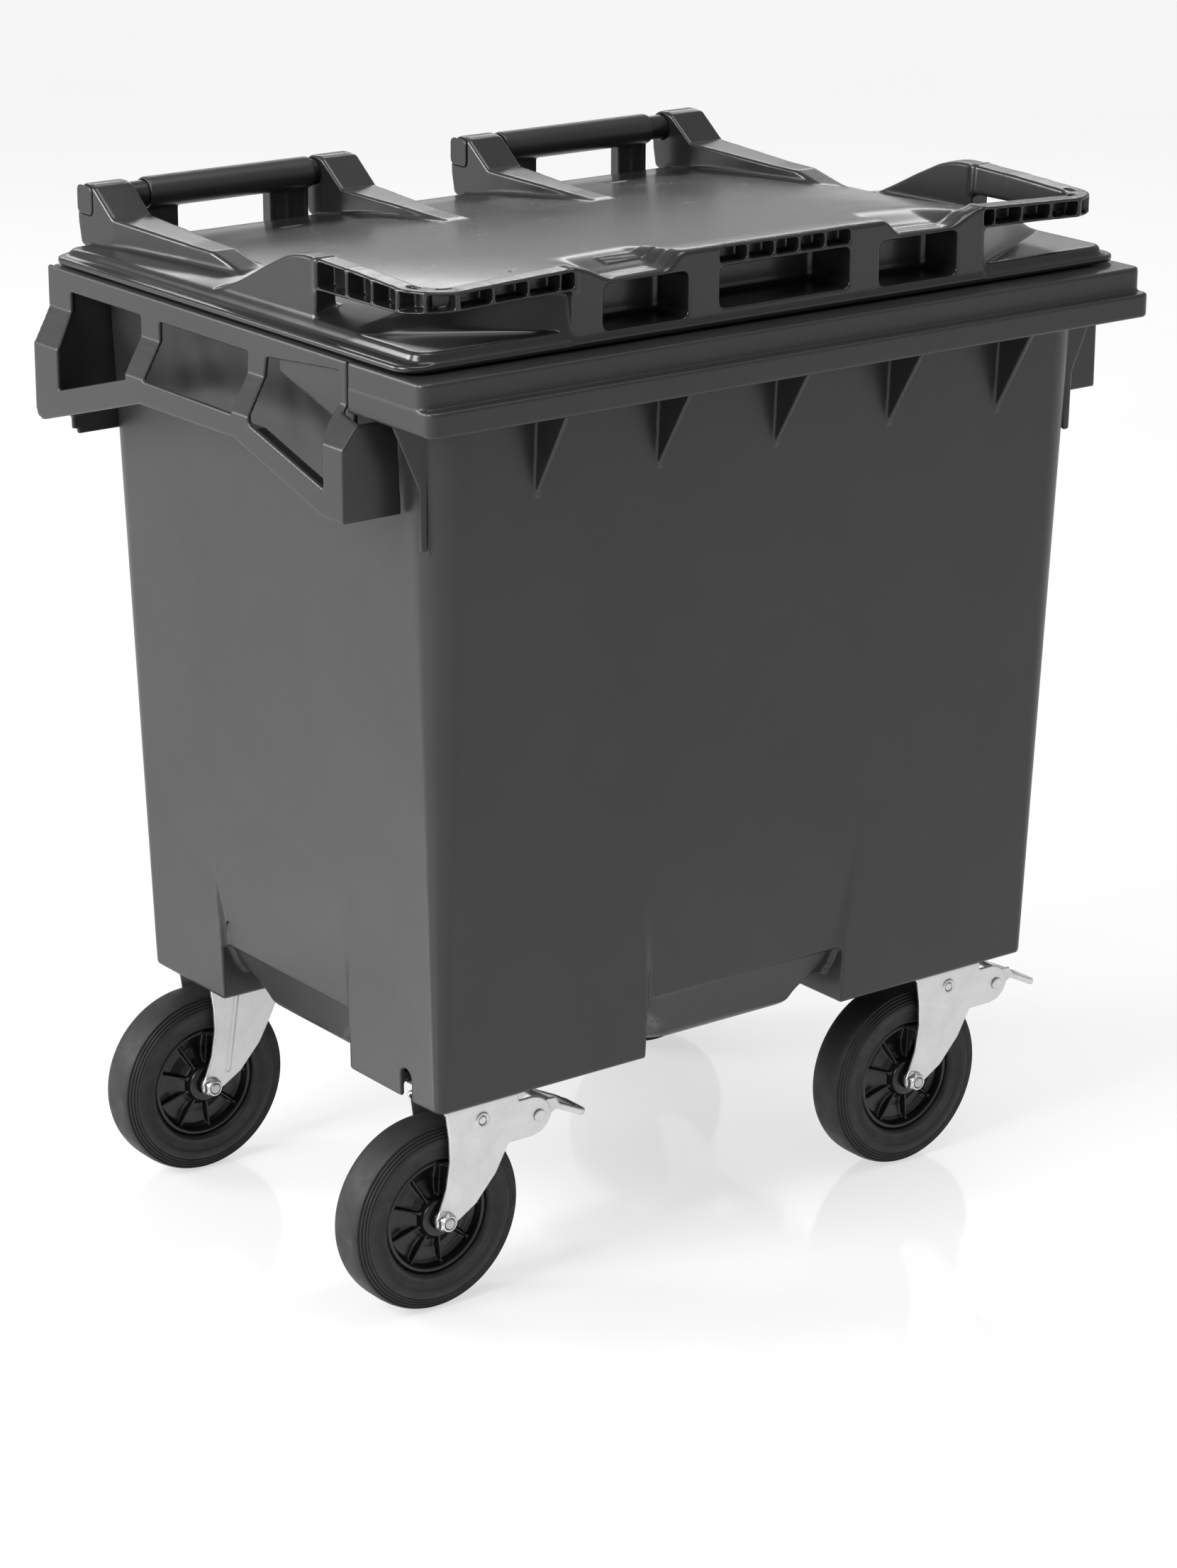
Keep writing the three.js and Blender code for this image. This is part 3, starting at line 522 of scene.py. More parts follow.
# ---------------- side lifting frames
def side_frame_field():
    field = Field(steps((391.1, 481.8, 1.4)), steps((-254.1, 336, 1.9)), steps((807.1, 989, 1.9)))
    lower, upper = FRAME_OUT, RIM_HALF_WIDTH
    sheet = prism("y", [
        (upper - WALL, RIM_TOP), (upper - WALL, 942), (lower - WALL, 908), (lower - WALL, 826),
        (lower, 826), (lower, 908), (upper, 942), (upper, RIM_TOP),
    ], FRAME_FRONT, RIM_REAR)
    outline = [
        (RIM_REAR, RIM_TOP), (FRAME_SEAM, RIM_TOP), (FRAME_SEAM, 935), (FRAME_FRONT, 930),
        (FRAME_FRONT, 837), (-214, 837), (-60, 883), (115, 882), (306, 828.5), (316, 832),
        (319, 840), (319, 910), (RIM_REAR, 945),
    ]
    field.add(within(sheet, prism("x", outline, 430, 500)))
    for window in (
        [(150, 962), (286, 962), (286, 942), (271.7, 910), (271.7, 866), (138.6, 903), (150, 942)],
        [(-47, 961.5), (114, 961.5), (114, 942), (104.6, 907), (-56.8, 906), (-46, 942)],
        [(-197, 972), (-80, 962), (-76, 942), (-88, 901.5), (-215, 865), (-215, 905), (-205, 925),
         (-205, 972)],
    ):
        field.cut(prism("x", window, 430, 500))
    edge = [(FRAME_FRONT, 837), (-214, 837), (-60, 883), (115, 882), (306, 828.5), (319, 840)]
    shelf = edge + [(y, z + WALL) for y, z in reversed(edge)]
    field.add(prism("x", shelf, 440, lower - 2))
    field.add(prism("y", [
        (412.3, 837), (lower - 1, 837), (lower - 1, 907), (459.5, 930), (416.5, 930),
    ], FRAME_FRONT, FRAME_FRONT + WALL))
    field.add(prism("y", [
        (394, 812), (446, 812), (446, 818), (452, 818), (452, 840), (lower - 1, 840),
        (lower - 1, 908), (upper - 1, 942), (upper - 1, 975), (394, 975),
    ], 289, 294))
    field.cut(skin_wall(780, 1100, -GAP))
    field.cut(block((380, upper - WALL - 0.3), (-400, 400), (RIM_TOP - WALL - GAP, 1000)))
    field.cut(block((440, 446.3), (-223, -91), (917, 980)))
    field.soften(0.9)
    return field


# ---------------- hinge bars
def hinge_bar_field():
    field = Field(steps((121.3, 334, 1.6)), steps((312.3, 360, 1.3)), steps((951.3, 1064, 1.3)))
    field.add(rod("x", (sum(BARREL) / 2, HINGE_Y, HINGE_Z), BARREL_R, BARREL[1] - BARREL[0], 1.5))
    for low, high, web in ((126.5, 176, 150), (289.5, 329.5, 308)):
        field.add(block((low, high), (336.5, 341.5), (956, HINGE_Z - 6)))
        for x in (low, high - WALL, web):
            field.add(block((x, x + WALL), (335.5, 351), (956, HINGE_Z - 6)))
        field.add(block((low, high), (317, 351), (956, RIM_TOP), 1))
    for end in BARREL:
        field.cut(rod("x", (end, HINGE_Y, HINGE_Z), PIN_R + 0.3, 60))
    field.cut(block((0, 400), (300, 335.2), (RIM_TOP + 0.1, 1010)))
    field.soften(0.9)
    return field


# ---------------- lid
def lid_top(x, y):
    """Height of the lid's outer skin: a wedge that rises to the front, domed across."""
    u = np.abs(x)
    edge = 1 - np.minimum(u / SHELL_HALF_WIDTH, 1) ** 4.4
    rise = np.clip(0.1 * (330 - y), -4, 61)
    z = 1002 + rise * edge - 3 * smooth(250, 330, y)
    slant = (u - 393) * 0.517 - (y + 231) * 0.856
    z = z + (1003.6 - z) * smooth(-17, 0, slant)
    dip = smooth(128, 148, u) * (1 - smooth(212, 240, u)) * smooth(-225, -300, y)
    z = z - 14 * dip
    # Small oval dents beside the inner arms, and the moulding gates over the grips.
    z = z - 1.8 * np.exp(-((u - 213) / 16) ** 4 - ((y - 234) / 7) ** 4)
    return z - 1.2 * np.exp(-((u - 277) ** 2 + (y + 237) ** 2) / 9)


def dome(margin, drop, base, r):
    """Closed block under the lid's skin, with its upper edge rounded to r."""
    half, front, rear = SHELL_HALF_WIDTH - margin, -308 + margin, 330 - margin

    def distance(x, y, z):
        top = lid_top(x, y)
        lean_x = (lid_top(x + 0.5, y) - lid_top(x - 0.5, y)) ** 2
        lean_y = (lid_top(x, y + 0.5) - lid_top(x, y - 0.5)) ** 2
        height = np.maximum((z - top) / np.sqrt(1 + lean_x + lean_y) + drop, base - z)
        return extruded(plan((-half, half), (front, rear), 18, x, y), height, r)
    return ((-half, half), (front, rear), (base, 1068)), distance


def band_heights(u, y):
    """Bottom and top of the grip rail and the side wall that carries it."""
    low_front = np.interp(u, [GRIP_END, 320, RAIL_TURN_X], [1041, 1040, 1038])
    low_side = np.interp(y, [LID_FRONT, RAIL_TURN_Y, -131], [1038, 1033.5, 1032])
    top_front = np.interp(u, [GRIP_END, 262, RAIL_TURN_X], [1063.4, 1062.8, 1058])
    top_side = np.interp(
        y,
        [RAIL_TURN_Y, -190, -131, -106, -92, -75, -40, -5, 20, 47, 64],
        [1058, 1061.8, 1063.4, 1063.2, 1061.4, 1056.5, 1041, 1024, 1013, 1003.5, 988],
    )
    front = u < RAIL_TURN_X
    return np.where(front, low_front, low_side), np.where(front, top_front, top_side)


def band_plan(x, y):
    """Distances in plan to the rail's outer and inner faces."""
    outer = plan((-RAIL_X, RAIL_X), (LID_FRONT, 500), CORNER_R, x, y)
    by = RAIL_WIDTH
    inner = plan((by - RAIL_X, RAIL_X - by), (LID_FRONT + by, 500), CORNER_R - by, x, y)
    return outer, inner


def rail(r):
    def distance(x, y, z):
        outer, inner = band_plan(x, y)
        low, top = band_heights(np.abs(x), y)
        flat = most(outer, -inner, GRIP_END - np.abs(x), y + 128)
        return extruded(flat, np.maximum(z - top, low - z), r)
    return ((-RAIL_X, RAIL_X), (LID_FRONT, -128), (1030, 1066)), distance


def side_walls(r):
    """The walls that run from the rails' rear ends down to the lid's sides, solid outside."""
    def distance(x, y, z):
        outer, inner = band_plan(x, y)
        top = band_heights(np.abs(x), y)[1]
        front = -131 + (1041 - z) * 0.06 - 10 * np.clip((1004 - z) / 14, 0, 1) ** 2
        flat = most(outer, -inner, front - y, y - 62)
        return extruded(flat, np.maximum((z - top) * 0.92, 989 - z), r)
    return ((-RAIL_X, RAIL_X), (-145, 64), (989, 1066)), distance


def side_hollow():
    def distance(x, y, z):
        u = np.abs(x)
        top = band_heights(u, y)[1] - 4.5
        return most(np.abs(u - 415) - 8, -125 - y, y - 44, z - top)
    return ((-424, 424), (-126, 46), (980, 1060)), distance


def rail_cell(low, high, side):
    """A cell that opens outwards in the rail, between two places along it."""
    def distance(x, y, z):
        u = np.abs(x)
        inner = band_plan(x, y)[1]
        bottom, top = band_heights(u, y)
        if side == "corner":
            v = np.degrees(np.arctan2(RAIL_TURN_Y - y, u - RAIL_TURN_X))
            along = stretch(v, low, high) * 0.72
            along = np.where((u > RAIL_TURN_X - 5) & (y < RAIL_TURN_Y + 5), along, FAR)
            top, bottom = np.full_like(along, 1058.0), np.interp(v, [0, 90], [1033.5, 1038])
        elif side == "side":
            along = np.maximum(stretch(y, low, high), 395 - u)
        else:
            along = np.maximum(stretch(u, low, high), y + 290)
        shape = extruded(along, np.maximum(z - (top - 3.6), bottom + 3.4 - z), 1.6)
        return np.maximum(shape, 4 - inner)
    return ((-440, 440), (-325, -120), (1034, 1062)), distance


def rail_slot(angle, radius):
    """A small drain slot through the top of a rail's corner."""
    a = math.radians(angle)
    cx, cy = RAIL_TURN_X + radius * math.cos(a), RAIL_TURN_Y - radius * math.sin(a)

    def distance(x, y, z):
        u = np.abs(x)
        out = (u - cx) * math.cos(a) - (y - cy) * math.sin(a)
        along = (u - cx) * math.sin(a) + (y - cy) * math.cos(a)
        return most(np.abs(out) - 3, np.abs(along) - 6.5, 1052 - z)
    return ((-425, 425), (-310, -255), (1052, 1066)), distance


def front_edge(u):
    dip = smooth(124, 150, u) * (1 - smooth(205, 258, u))
    return 1063.6 - 6.4 * smooth(262, 395, u) - 16.4 * dip


def front_wall():
    def distance(x, y, z):
        u = np.abs(x)
        lean = np.gradient(front_edge(np.arange(0, 460.0)))
        slope = np.interp(u, np.arange(0, 460.0), lean)
        height = (z - front_edge(u)) / np.sqrt(1 + slope ** 2)
        flat = extruded(u - 259, np.abs(y + 301) - 11, 3)
        return extruded(flat, np.maximum(height, 989 - z), 3)
    return ((-259, 259), (LID_FRONT, -290), (989, 1066)), distance


def arm(stations):
    """A hinge arm whose sides draw in towards the front, given as (y, low x, high x) stations."""
    outline = [
        (44, 1004), (60, 1014.5), (111, 1026), (154, 1026.5), (285.5, 1031.5), (321.5, 1058.5),
        (331, 1060.4),
    ]
    for degrees in range(80, -1, -10):
        a = math.radians(degrees)
        outline.append((HINGE_Y + ARM_R * math.cos(a), HINGE_Z + ARM_R * math.sin(a)))
    outline += [(355, 1018), (350.5, 997), (LID_REAR, 989), (44, 992)]
    ys = [s[0] for s in stations]
    lows, highs = [s[1] for s in stations], [s[2] for s in stations]

    def distance(x, y, z):
        low, high = np.interp(y, ys, lows), np.interp(y, ys, highs)
        flare = 1.6 * np.clip((lid_top(x, y) + 6 - z) / 6, 0, 1) ** 2 * np.clip((300 - y) / 60, 0, 1)
        side = stretch(x, low, high) - flare
        return extruded(side, polygon(outline, y, z), 2.6)
    span = (min(lows) - 5, max(highs) + 5)
    return (span, (44, HINGE_Y + ARM_R), (989, 1061)), distance


def cap_shape(x0, x1, by):
    spans = (x0, x1), (HINGE_Y - 13.5 - by, HINGE_Y + 16 + by), (HINGE_Z - 14.5 - by, HINGE_Z + 15 + by)

    def distance(x, y, z):
        flat = plan(spans[1], spans[2], 6, y, z)
        return extruded(flat, stretch(x, x0, x1), 1.2 if by == 0 else 0)
    return spans, distance


def lid_field():
    xs = mirrored((0, 84, 1.9), (84, 124, 2.1), (124, 220, 2.4), (220, 262, 1.9), (262, 384, 2.0),
                  (384, 456.6, 1.7))
    ys = steps((-318.1, -284, 1.5), (-284, -128, 1.9), (-128, 60, 3), (60, 280, 2.6), (280, 361, 1.6))
    zs = steps((980.3, 1070, 1.5))
    field = Field(xs, ys, zs)
    field.add(dome(0, 0, 988, 5))
    width, depth = (-LID_HALF_WIDTH, LID_HALF_WIDTH), (LID_FRONT - 1, LID_REAR)
    field.blend(slab(width, depth, (LID_BOTTOM, 993.3), 26, 2.4), 7)
    field.blend(front_wall(), 5)
    field.blend(side_walls(2.4), 5)
    field.blend(rail(2.4), 4)
    outer = arm([
        (40, 362, 390.5), (60, 362.5, 390.5), (155, 359, 392.5), (285, 352.6, 399.8), (360, 352.4, 400),
    ])
    inner = arm([
        (40, 82, 108), (132, 81, 109), (190, 79, 110.5), (285, 73, 118.6), (360, 72.4, 119),
    ])
    for shape in both(outer, inner):
        field.blend(shape, 2.5)

    # The hollow under the skin, the side walls and the arms.
    room = Field(xs, ys, zs)
    room.add(dome(LID_SKIN, LID_SKIN, 960, 2), side_hollow())
    room.add(slab((-426, 426), (-303, 326), (975, 988.5), 20))
    for low, high in ((366.5, 386), (86, 104.5)):
        room.add(*both(prism("x", [
            (92, 980), (92, 1012), (111, 1020), (154, 1020.5), (284, 1025.5), (308, 1043), (316, 1043),
            (316, 980),
        ], low, high)))

    pockets = [
        ((-81.7, 81.7), (-330, -252), (1003, 1043.4)),
        ((120.3, 221.8), (-330, -262), (999, 1043.8)),
        ((-221.8, -120.3), (-330, -262), (999, 1043.8)),
    ]
    for x, y, z in pockets:
        field.cut(block(x, y, z, 7))
        room.cut(block((x[0] - 3, x[1] + 3), (-340, y[1] + 3), (z[0] - 3, z[1] + 3), 8))
    room.cut(block((-260, 260), (-330, -288), (984, 1070)))
    for low, high in ((-81.7, -49), (-45.5, -15.5), (-12, 15.5), (19, 48.5), (52, 81.7)):
        field.cut(block((low, high), (-330, -293), (1047.6, 1060.8), 1.6))
    for low, high in ((-179.3, -133), (-221.5, -183.5), (-262, -225.2)):
        field.cut(rail_cell(low, high, "side"))
    for low, high in ((1, 37.5), (42.5, 76)):
        field.cut(rail_cell(low, high, "corner"))
    for low, high in ((351, 386), (310.6, 346.9), (273.5, 307.3), (256.6, 271)):
        field.cut(rail_cell(low, high, "front"))
    field.cut(rail_slot(9, 31), rail_slot(66, 28))

    for (low, high), face in ((ARM_OUTER, 1), (ARM_INNER, 0)):
        middle = ((low + high) / 2, HINGE_Y, HINGE_Z)
        field.cut(*both(rod("x", middle, PIN_R + GAP, 60)))
        seat = cap_shape(high - 3.3, high + 9, GAP) if face else cap_shape(low - 9, low + 3.3, GAP)
        field.cut(*both(seat))
    field.cut(block((-440, 440), (LID_REAR + 0.4, 345), (980, 994)))
    field.soften(1.15)
    room.soften(1.15)
    field.room = room

    # A blank raised label plate lies on the left dip.
    def plate(x, y, z):
        flat = plan((-188, -127), (-270, -251), 3, x, y)
        return np.maximum(flat, np.abs(z - lid_top(x, y)) - 1.0)
    field.add((((-188, -127), (-270, -251), (1035, 1062)), plate))
    return field


def hinge_pin_field(x0, x1, head0, head1):
    field = Field(steps((min(x0, head0) - 4.2, max(x1, head1) + 4, 1.1)), steps((320.3, 360, 1.1)),
                  steps((1023.3, 1063, 1.1)))
    field.add(rod("x", ((x0 + x1) / 2, HINGE_Y, HINGE_Z), PIN_R, x1 - x0, 1.5))
    field.add(cap_shape(head0, head1, 0))
    return field


# ---------------- castors
# Each is drawn round its own swivel axis, with the wheel trailing towards -X.
LEG = [
    (-60, 224), (-54.6, 186), (-54, 162), (-58.6, 133), (-66.5, 112), (-71.5, 103), (-71, 95),
    (-65.5, 89.5), (-58, 89), (-42, 97), (-22, 109), (2.5, 136), (16, 160), (28, 184), (31, 200), (31, 224),
]
EAR = [
    (20, 208), (50, 208), (59, 205), (66.5, 199), (71, 191), (71.5, 183), (67, 174), (59, 167.5),
    (49, 165), (17, 165),
]


def hexagon(u, v, half, corner, past, along):
    """A bolt head or nut in its own plane, whose corners are turned off past a height."""
    flat = most(np.abs(u), np.abs(u / 2 + v * 0.866), np.abs(u / 2 - v * 0.866)) - half
    round_off = (np.hypot(u, v) - corner + np.maximum(past, 0) * 0.9) * 0.75
    return most(flat, round_off, along)


def fork_field(braked):
    reach = 76 if braked else 36
    field = Field(steps((-78.1, reach, 1.35)), steps((-38.3, 39, 1.15)), steps((83.1, 227, 1.35)))
    out = FORK_IN + FORK_SHEET
    sheet = Field(*field.lines)
    sheet.add(block((-90, 90), (-out, out), (60, CROWN_TOP), 8))
    sheet.cut(block((-100, 100), (-FORK_IN, FORK_IN), (50, CROWN_TOP - FORK_SHEET), 4.2))
    field.add(prism("y", LEG, -40, 40))
    if braked:
        field.add(prism("y", EAR, -40, 40))
    crown = slab((-60, 31), (-40, 40), (CROWN_TOP - 9, 230), 9)
    field.add(crown)
    field.values = np.maximum(field.values, sheet.values)
    # A pressed boss stiffens the sheet round the axle.
    for side in (-1, 1):
        boss = [(0, -2), (10.4, -2), (9.4, 0.06), (0, 0.06)]
        field.blend(turned("y", (-TRAIL, side * out, WHEEL_R), boss), 1)
    if braked:
        for side in (-1, 1):
            ring = [(5, -2), (8.6, -2), (8.2, 0.06), (5, 0.06)]
            field.add(turned("y", (SHOE_X, side * out, SHOE_Z), ring))
        field.cut(rod("y", (SHOE_X, 0, SHOE_Z), BRAKE_PIN_R + 0.3, 90))
        field.cut(rod("y", (PEDAL_X, 0, PEDAL_Z), BRAKE_PIN_R + 0.3, 90))
    else:
        # The unbraked fork has a folded crease down each leg.
        for side in (-1, 1):
            crease = [(-27, 205), (-22, 205), (-36, 112), (-42, 112)]
            field.cut(prism("y", crease, side * out - 0.9, side * out + 0.9))
    field.cut(rod("y", (-TRAIL, 0, WHEEL_R), AXLE_R + GAP, 90))
    field.cut(rod("z", (0, 0, 222), 7, 20))
    field.soften(0.7)
    return field


def rim_field():
    field = Field(steps((-62.9, 63, 1.05)), steps((-26.7, 27, 1.05)), steps((-62.9, 63, 1.05)))
    here = (0, 0, 0)
    field.add(turned("y", here, [
        (10.3, -24.5), (18, -24.5), (20, -22.5), (21.5, -14), (27, -9), (38, -5.5), (50, -6), (54, -9),
        (55.5, -18.6), (59, -19), (59.6, -17.4), (61.2, -17.2), (61.2, 17.2), (59.6, 17.4), (59, 19),
        (55.5, 18.6), (54, 9), (50, 6), (38, 5.5), (27, 9), (21.5, 14), (20, 22.5), (18, 24.5),
        (10.3, 24.5),
    ]))

    def ribs(x, y, z):
        radius, angle = np.hypot(x, z), np.arctan2(z, x)
        pitch = 2 * math.pi / 9
        off = (angle + 0.35) % pitch - pitch / 2
        height = np.interp(radius, [18, 56], [17.5, 12.5])
        flat = np.maximum(np.abs(radius * np.sin(off)) - 1.25, np.abs(radius - 37) - 19)
        return np.maximum(flat, np.abs(y) - height)
    field.blend((((-56, 56), (-18, 18), (-56, 56)), ribs), 2.5)
    field.soften(0.6)
    return field


def nut_field():
    """Hexagon lock nut on its washer, round the axle's front end."""
    face = -FORK_IN - FORK_SHEET - 0.1
    field = Field(steps((-13.3, 14, 0.55)), steps((-44.7, -32, 0.55)), steps((-13.3, 14, 0.55)))

    def nut(x, y, z):
        return hexagon(x, z, 9.4, 10.9, face - 4.6 - y, np.abs(y - face + 4.1) - 3.6)
    field.add(turned("y", (0, face, 0), [(6.2, -1.3), (11.2, -1.3), (11.4, -0.2), (6.2, -0.2)]))
    field.add((((-11, 11), (face - 8, face), (-11, 11)), nut))
    field.add(turned("y", (0, face, 0), [(6.2, -8.8), (7.9, -8.8), (8.8, -7.8), (8.8, -6), (6.2, -6)]))
    field.cut(rod("y", (0, face, 0), AXLE_R + 0.2, 30))
    field.soften(0.3)
    return field


def axle_field():
    end, head = -42.9, FORK_IN + FORK_SHEET + 0.1
    field = Field(steps((-13.3, 14, 0.7)), steps((-45.1, 44, 0.9)), steps((-13.3, 14, 0.7)))
    # The bolt's front end carries its thread's crests.
    crests = [(AXLE_R - 0.55 * (i % 2), end + 0.6 + 0.9 * i) for i in range(8)]
    field.add(turned("y", (0, 0, 0), [
        (0, end), (AXLE_R - 1, end), *crests, (AXLE_R - 0.05, end + 8), (AXLE_R - 0.05, head + 1),
        (0, head + 1),
    ]))

    def bolt_head(x, y, z):
        return hexagon(x, z, 9.35, 10.8, y - head - 5.2, np.abs(y - head - 3.7) - 3.6)
    field.add((((-11, 11), (head, head + 7.5), (-11, 11)), bolt_head))
    field.soften(0.3)
    return field


def plate_field():
    field = Field(steps((-72.3, 73, 1.6)), steps((-46.3, 45, 1.6)), steps((229.9, 241, 0.7)))
    field.add(slab((-68, 68), (-42, 40), (233.1, CASTOR_SEAT - GAP), 9, 0.8))
    for x in (-54, 54):
        for y in (-30, 28):
            field.cut(slab((x - 8, x + 8), (y - 4.5, y + 4.5), (225, 245), 4.4))
    field.cut(rod("z", (0, 0, 235), AXLE_R + GAP, 30))
    field.soften(0.4)
    return field


def race_field():
    field = Field(steps((-38.3, 39, 1)), steps((-38.3, 39, 1)), steps((219.1, 236, 0.6)))
    field.add(turned("z", (0, 0, 0), [
        (12, CROWN_TOP + GAP), (27.5, CROWN_TOP + GAP), (31.5, 223), (34.6, 226.4), (34.9, 228), (33, 229),
        (33, 229.8), (35, 230.4), (35, 232), (34, 232.8), (12, 232.8),
    ]))
    field.soften(0.35)
    return field


def kingpin_field():
    field = Field(steps((-13.3, 14, 0.8)), steps((-13.3, 14, 0.8)), steps((207.1, 239, 0.8)))
    field.add(rod("z", (0, 0, 225), AXLE_R - 0.05, 21.8, 0.8))

    def pin_head(x, y, z):
        return hexagon(x, y, 8.6, 9.9, 211.8 - z, np.abs(z - 213.5) - 3.45)
    field.add((((-11, 11), (-11, 11), (210, 217)), pin_head))
    field.soften(0.3)
    return field


def pedal_field():
    field = Field(steps((43.1, 136, 1.15)), steps((-30.3, 31, 1.15)), steps((150.1, 208, 1.15)))
    c, s = math.cos(math.radians(26)), math.sin(math.radians(26))

    def loop(x, y, z):
        along, up = (x - 80) * c - (z - 189) * s, (x - 80) * s + (z - 189) * c
        ring = np.maximum(plan((-4, 52), (-26, 26), 16, along, y), -plan((8, 42.5), (-16, 16), 9, along, y))
        ridges = 0.5 * np.cos(along * 1.15) * np.clip((along - 43) / 3, 0, 1)
        return extruded(ring, np.abs(up) - 3.4 - ridges, 1.4)
    field.add((((75, 130), (-26, 26), (160, 200)), loop))
    cheek = [
        (49, 179), (49, 193), (52, 197), (58, 198), (82, 197), (87, 189), (84, 183), (66, 176), (54, 175.5),
    ]
    for low, high in ((-26, -22.5), (22.5, 26)):
        field.blend(prism("y", cheek, low, high, 0.6), 2)
    for low, high in ((-26.4, -20.5), (20.5, 26.4)):
        field.cut(rod("y", (PEDAL_X, (low + high) / 2, PEDAL_Z), BRAKE_PIN_R + 0.3, 12))
    field.soften(0.5)
    return field


def shoe_field():
    field = Field(steps((-40.1, 46, 1.1)), steps((-21.3, 22, 1.1)), steps((158.1, 211, 1.1)))
    outline = [(34, 162), (39, 182), (42, 190), (42, 199), (10, 206), (-12, 207), (-26, 203)]
    for i in range(13):
        angle = math.radians(70 - i * 2.85)
        r = 102.4 + 2.8 * min(1, i / 6)
        outline.append((-TRAIL + r * math.cos(angle), WHEEL_R + r * math.sin(angle)))
    field.add(prism("y", outline, -18, 18, 1.2))
    field.cut(rod("y", (SHOE_X, 0, SHOE_Z), BRAKE_PIN_R + 0.3, 80))
    field.soften(0.5)
    return field


def pin_field(half, head):
    """A pin through both legs, with a low rounded head outside each."""
    face = FORK_IN + FORK_SHEET + 0.15
    field = Field(steps((-9.3, 10, 0.6)), steps((-half - 3.2, half + 3.5, 0.7)), steps((-9.3, 10, 0.6)))
    side = [(BRAKE_PIN_R - 0.05, face), (head, face), (head, half - 0.9), (head - 1.2, half), (0, half)]
    field.add(turned("y", (0, 0, 0), [(r, -y) for r, y in side[::-1]] + side))
    field.soften(0.3)
    return field


def tyre_outline():
    """Half of the tyre's section as (radius, y) points, from the tread's middle to the seat."""
    points = [(100, 0), (100, 8), (99.6, 13), (98.9, 16.5), (97.9, 19)]
    for r in (96.6, 93.6, 90.6, 87.6):
        y = 25 - 0.42 * max(0, r - 86) ** 1.05 if r > 86 else 25
        points += [(r + 0.9, y - 0.3), (r, y), (r - 0.5, y - 1.3), (r - 1.3, y - 1.3), (r - 1.8, y + 0.1)]
    points += [(84.6, 25), (80, 24.9), (77.2, 24.4), (76.2, 23.6), (75.4, 23.3), (66.4, 22.6), (65.6, 22.9),
               (64.6, 22.7), (63.2, 21.4), (61.7, 19.4)]
    return points


def tyre_mesh():
    """The tyre turned round its axle, with fine radial ribs in a band low on its sidewall."""
    half = tyre_outline()
    band = np.array([66.4 <= r <= 75.4 for r, y in half])
    outline = np.array([(r, -y) for r, y in half[:0:-1]] + half)
    ribbed = np.concatenate([band[:0:-1], band])
    # Extra rings across the ribbed band carry the ribs.
    rows, marks = [], []
    for i in range(len(outline) - 1):
        count = 4 if ribbed[i] and ribbed[i + 1] else 1
        for k in range(count):
            rows.append(outline[i] + (outline[i + 1] - outline[i]) * k / count)
            marks.append(count > 1 and k in (1, 2, 3))
    rows.append(outline[-1])
    marks.append(False)
    rows, marks = np.array(rows), np.array(marks, bool)
    turns = 180 if COARSE > 1 else 540
    angle = np.arange(turns) * 2 * math.pi / turns
    lift = 0.35 * np.cos(angle * turns / 3)
    radius = rows[:, 0][:, None] + 0 * angle[None, :]
    depth = rows[:, 1][:, None] + np.where(marks, np.sign(rows[:, 1]), 0)[:, None] * lift[None, :]
    points = np.stack([radius * np.sin(angle), depth, radius * np.cos(angle)], axis=-1)
    inner = [(61.7, -12), (61.7, 12)]
    ring = np.stack([
        np.stack([r * np.sin(angle), 0 * angle + y, r * np.cos(angle)], axis=-1) for r, y in inner[::-1]
    ])
    points = np.concatenate([points, ring])
    count, total = len(points), turns
    here = np.arange(count * total).reshape(count, total)
    beyond = np.roll(here, -1, axis=0)
    corners = [here, np.roll(here, -1, axis=1), np.roll(beyond, -1, axis=1), beyond]
    quads = np.stack(corners, axis=-1).reshape(-1, 4)
    return points.reshape(-1, 3), quads[:, ::-1]


# ---------------- meshes
def mesh_from(name, points, faces, normals=None):
    """A smooth mesh from points in millimetres, with its own normals if given."""
    mesh = bpy.data.meshes.new(name)
    sides = faces.shape[1]
    mesh.vertices.add(len(points))
    mesh.vertices.foreach_set("co", (points * MM).ravel())
    mesh.loops.add(faces.size)
    mesh.loops.foreach_set("vertex_index", faces.ravel())
    mesh.polygons.add(len(faces))
    mesh.polygons.foreach_set("loop_start", np.arange(len(faces)) * sides)
    mesh.update(calc_edges=True)
    mesh.validate()
    mesh.polygons.foreach_set("use_smooth", np.ones(len(mesh.polygons), bool))
    if normals is not None and len(mesh.vertices) == len(normals):
        mesh.normals_split_custom_set_from_vertices(normals.tolist())
    return mesh


def thinned(points, faces, budget):
    """The same surface in at most a number of triangles."""
    mesh = mesh_from("draft", points, faces)
    holder = bpy.data.objects.new("draft", mesh)
    bpy.context.scene.collection.objects.link(holder)
    step = holder.modifiers.new("thin", "DECIMATE")
    step.ratio = min(1.0, budget / (2 * len(faces)))
    step.use_collapse_triangulate = True
    whole = holder.evaluated_get(bpy.context.evaluated_depsgraph_get()).to_mesh()
    co = np.empty(len(whole.vertices) * 3)
    whole.vertices.foreach_get("co", co)
    whole.calc_loop_triangles()
    triangles = np.empty(len(whole.loop_triangles) * 3, np.int32)
    whole.loop_triangles.foreach_get("vertices", triangles)
    holder.to_mesh_clear()
    bpy.data.objects.remove(holder)
    bpy.data.meshes.remove(mesh)
    return co.reshape(-1, 3) / MM, triangles.reshape(-1, 3)


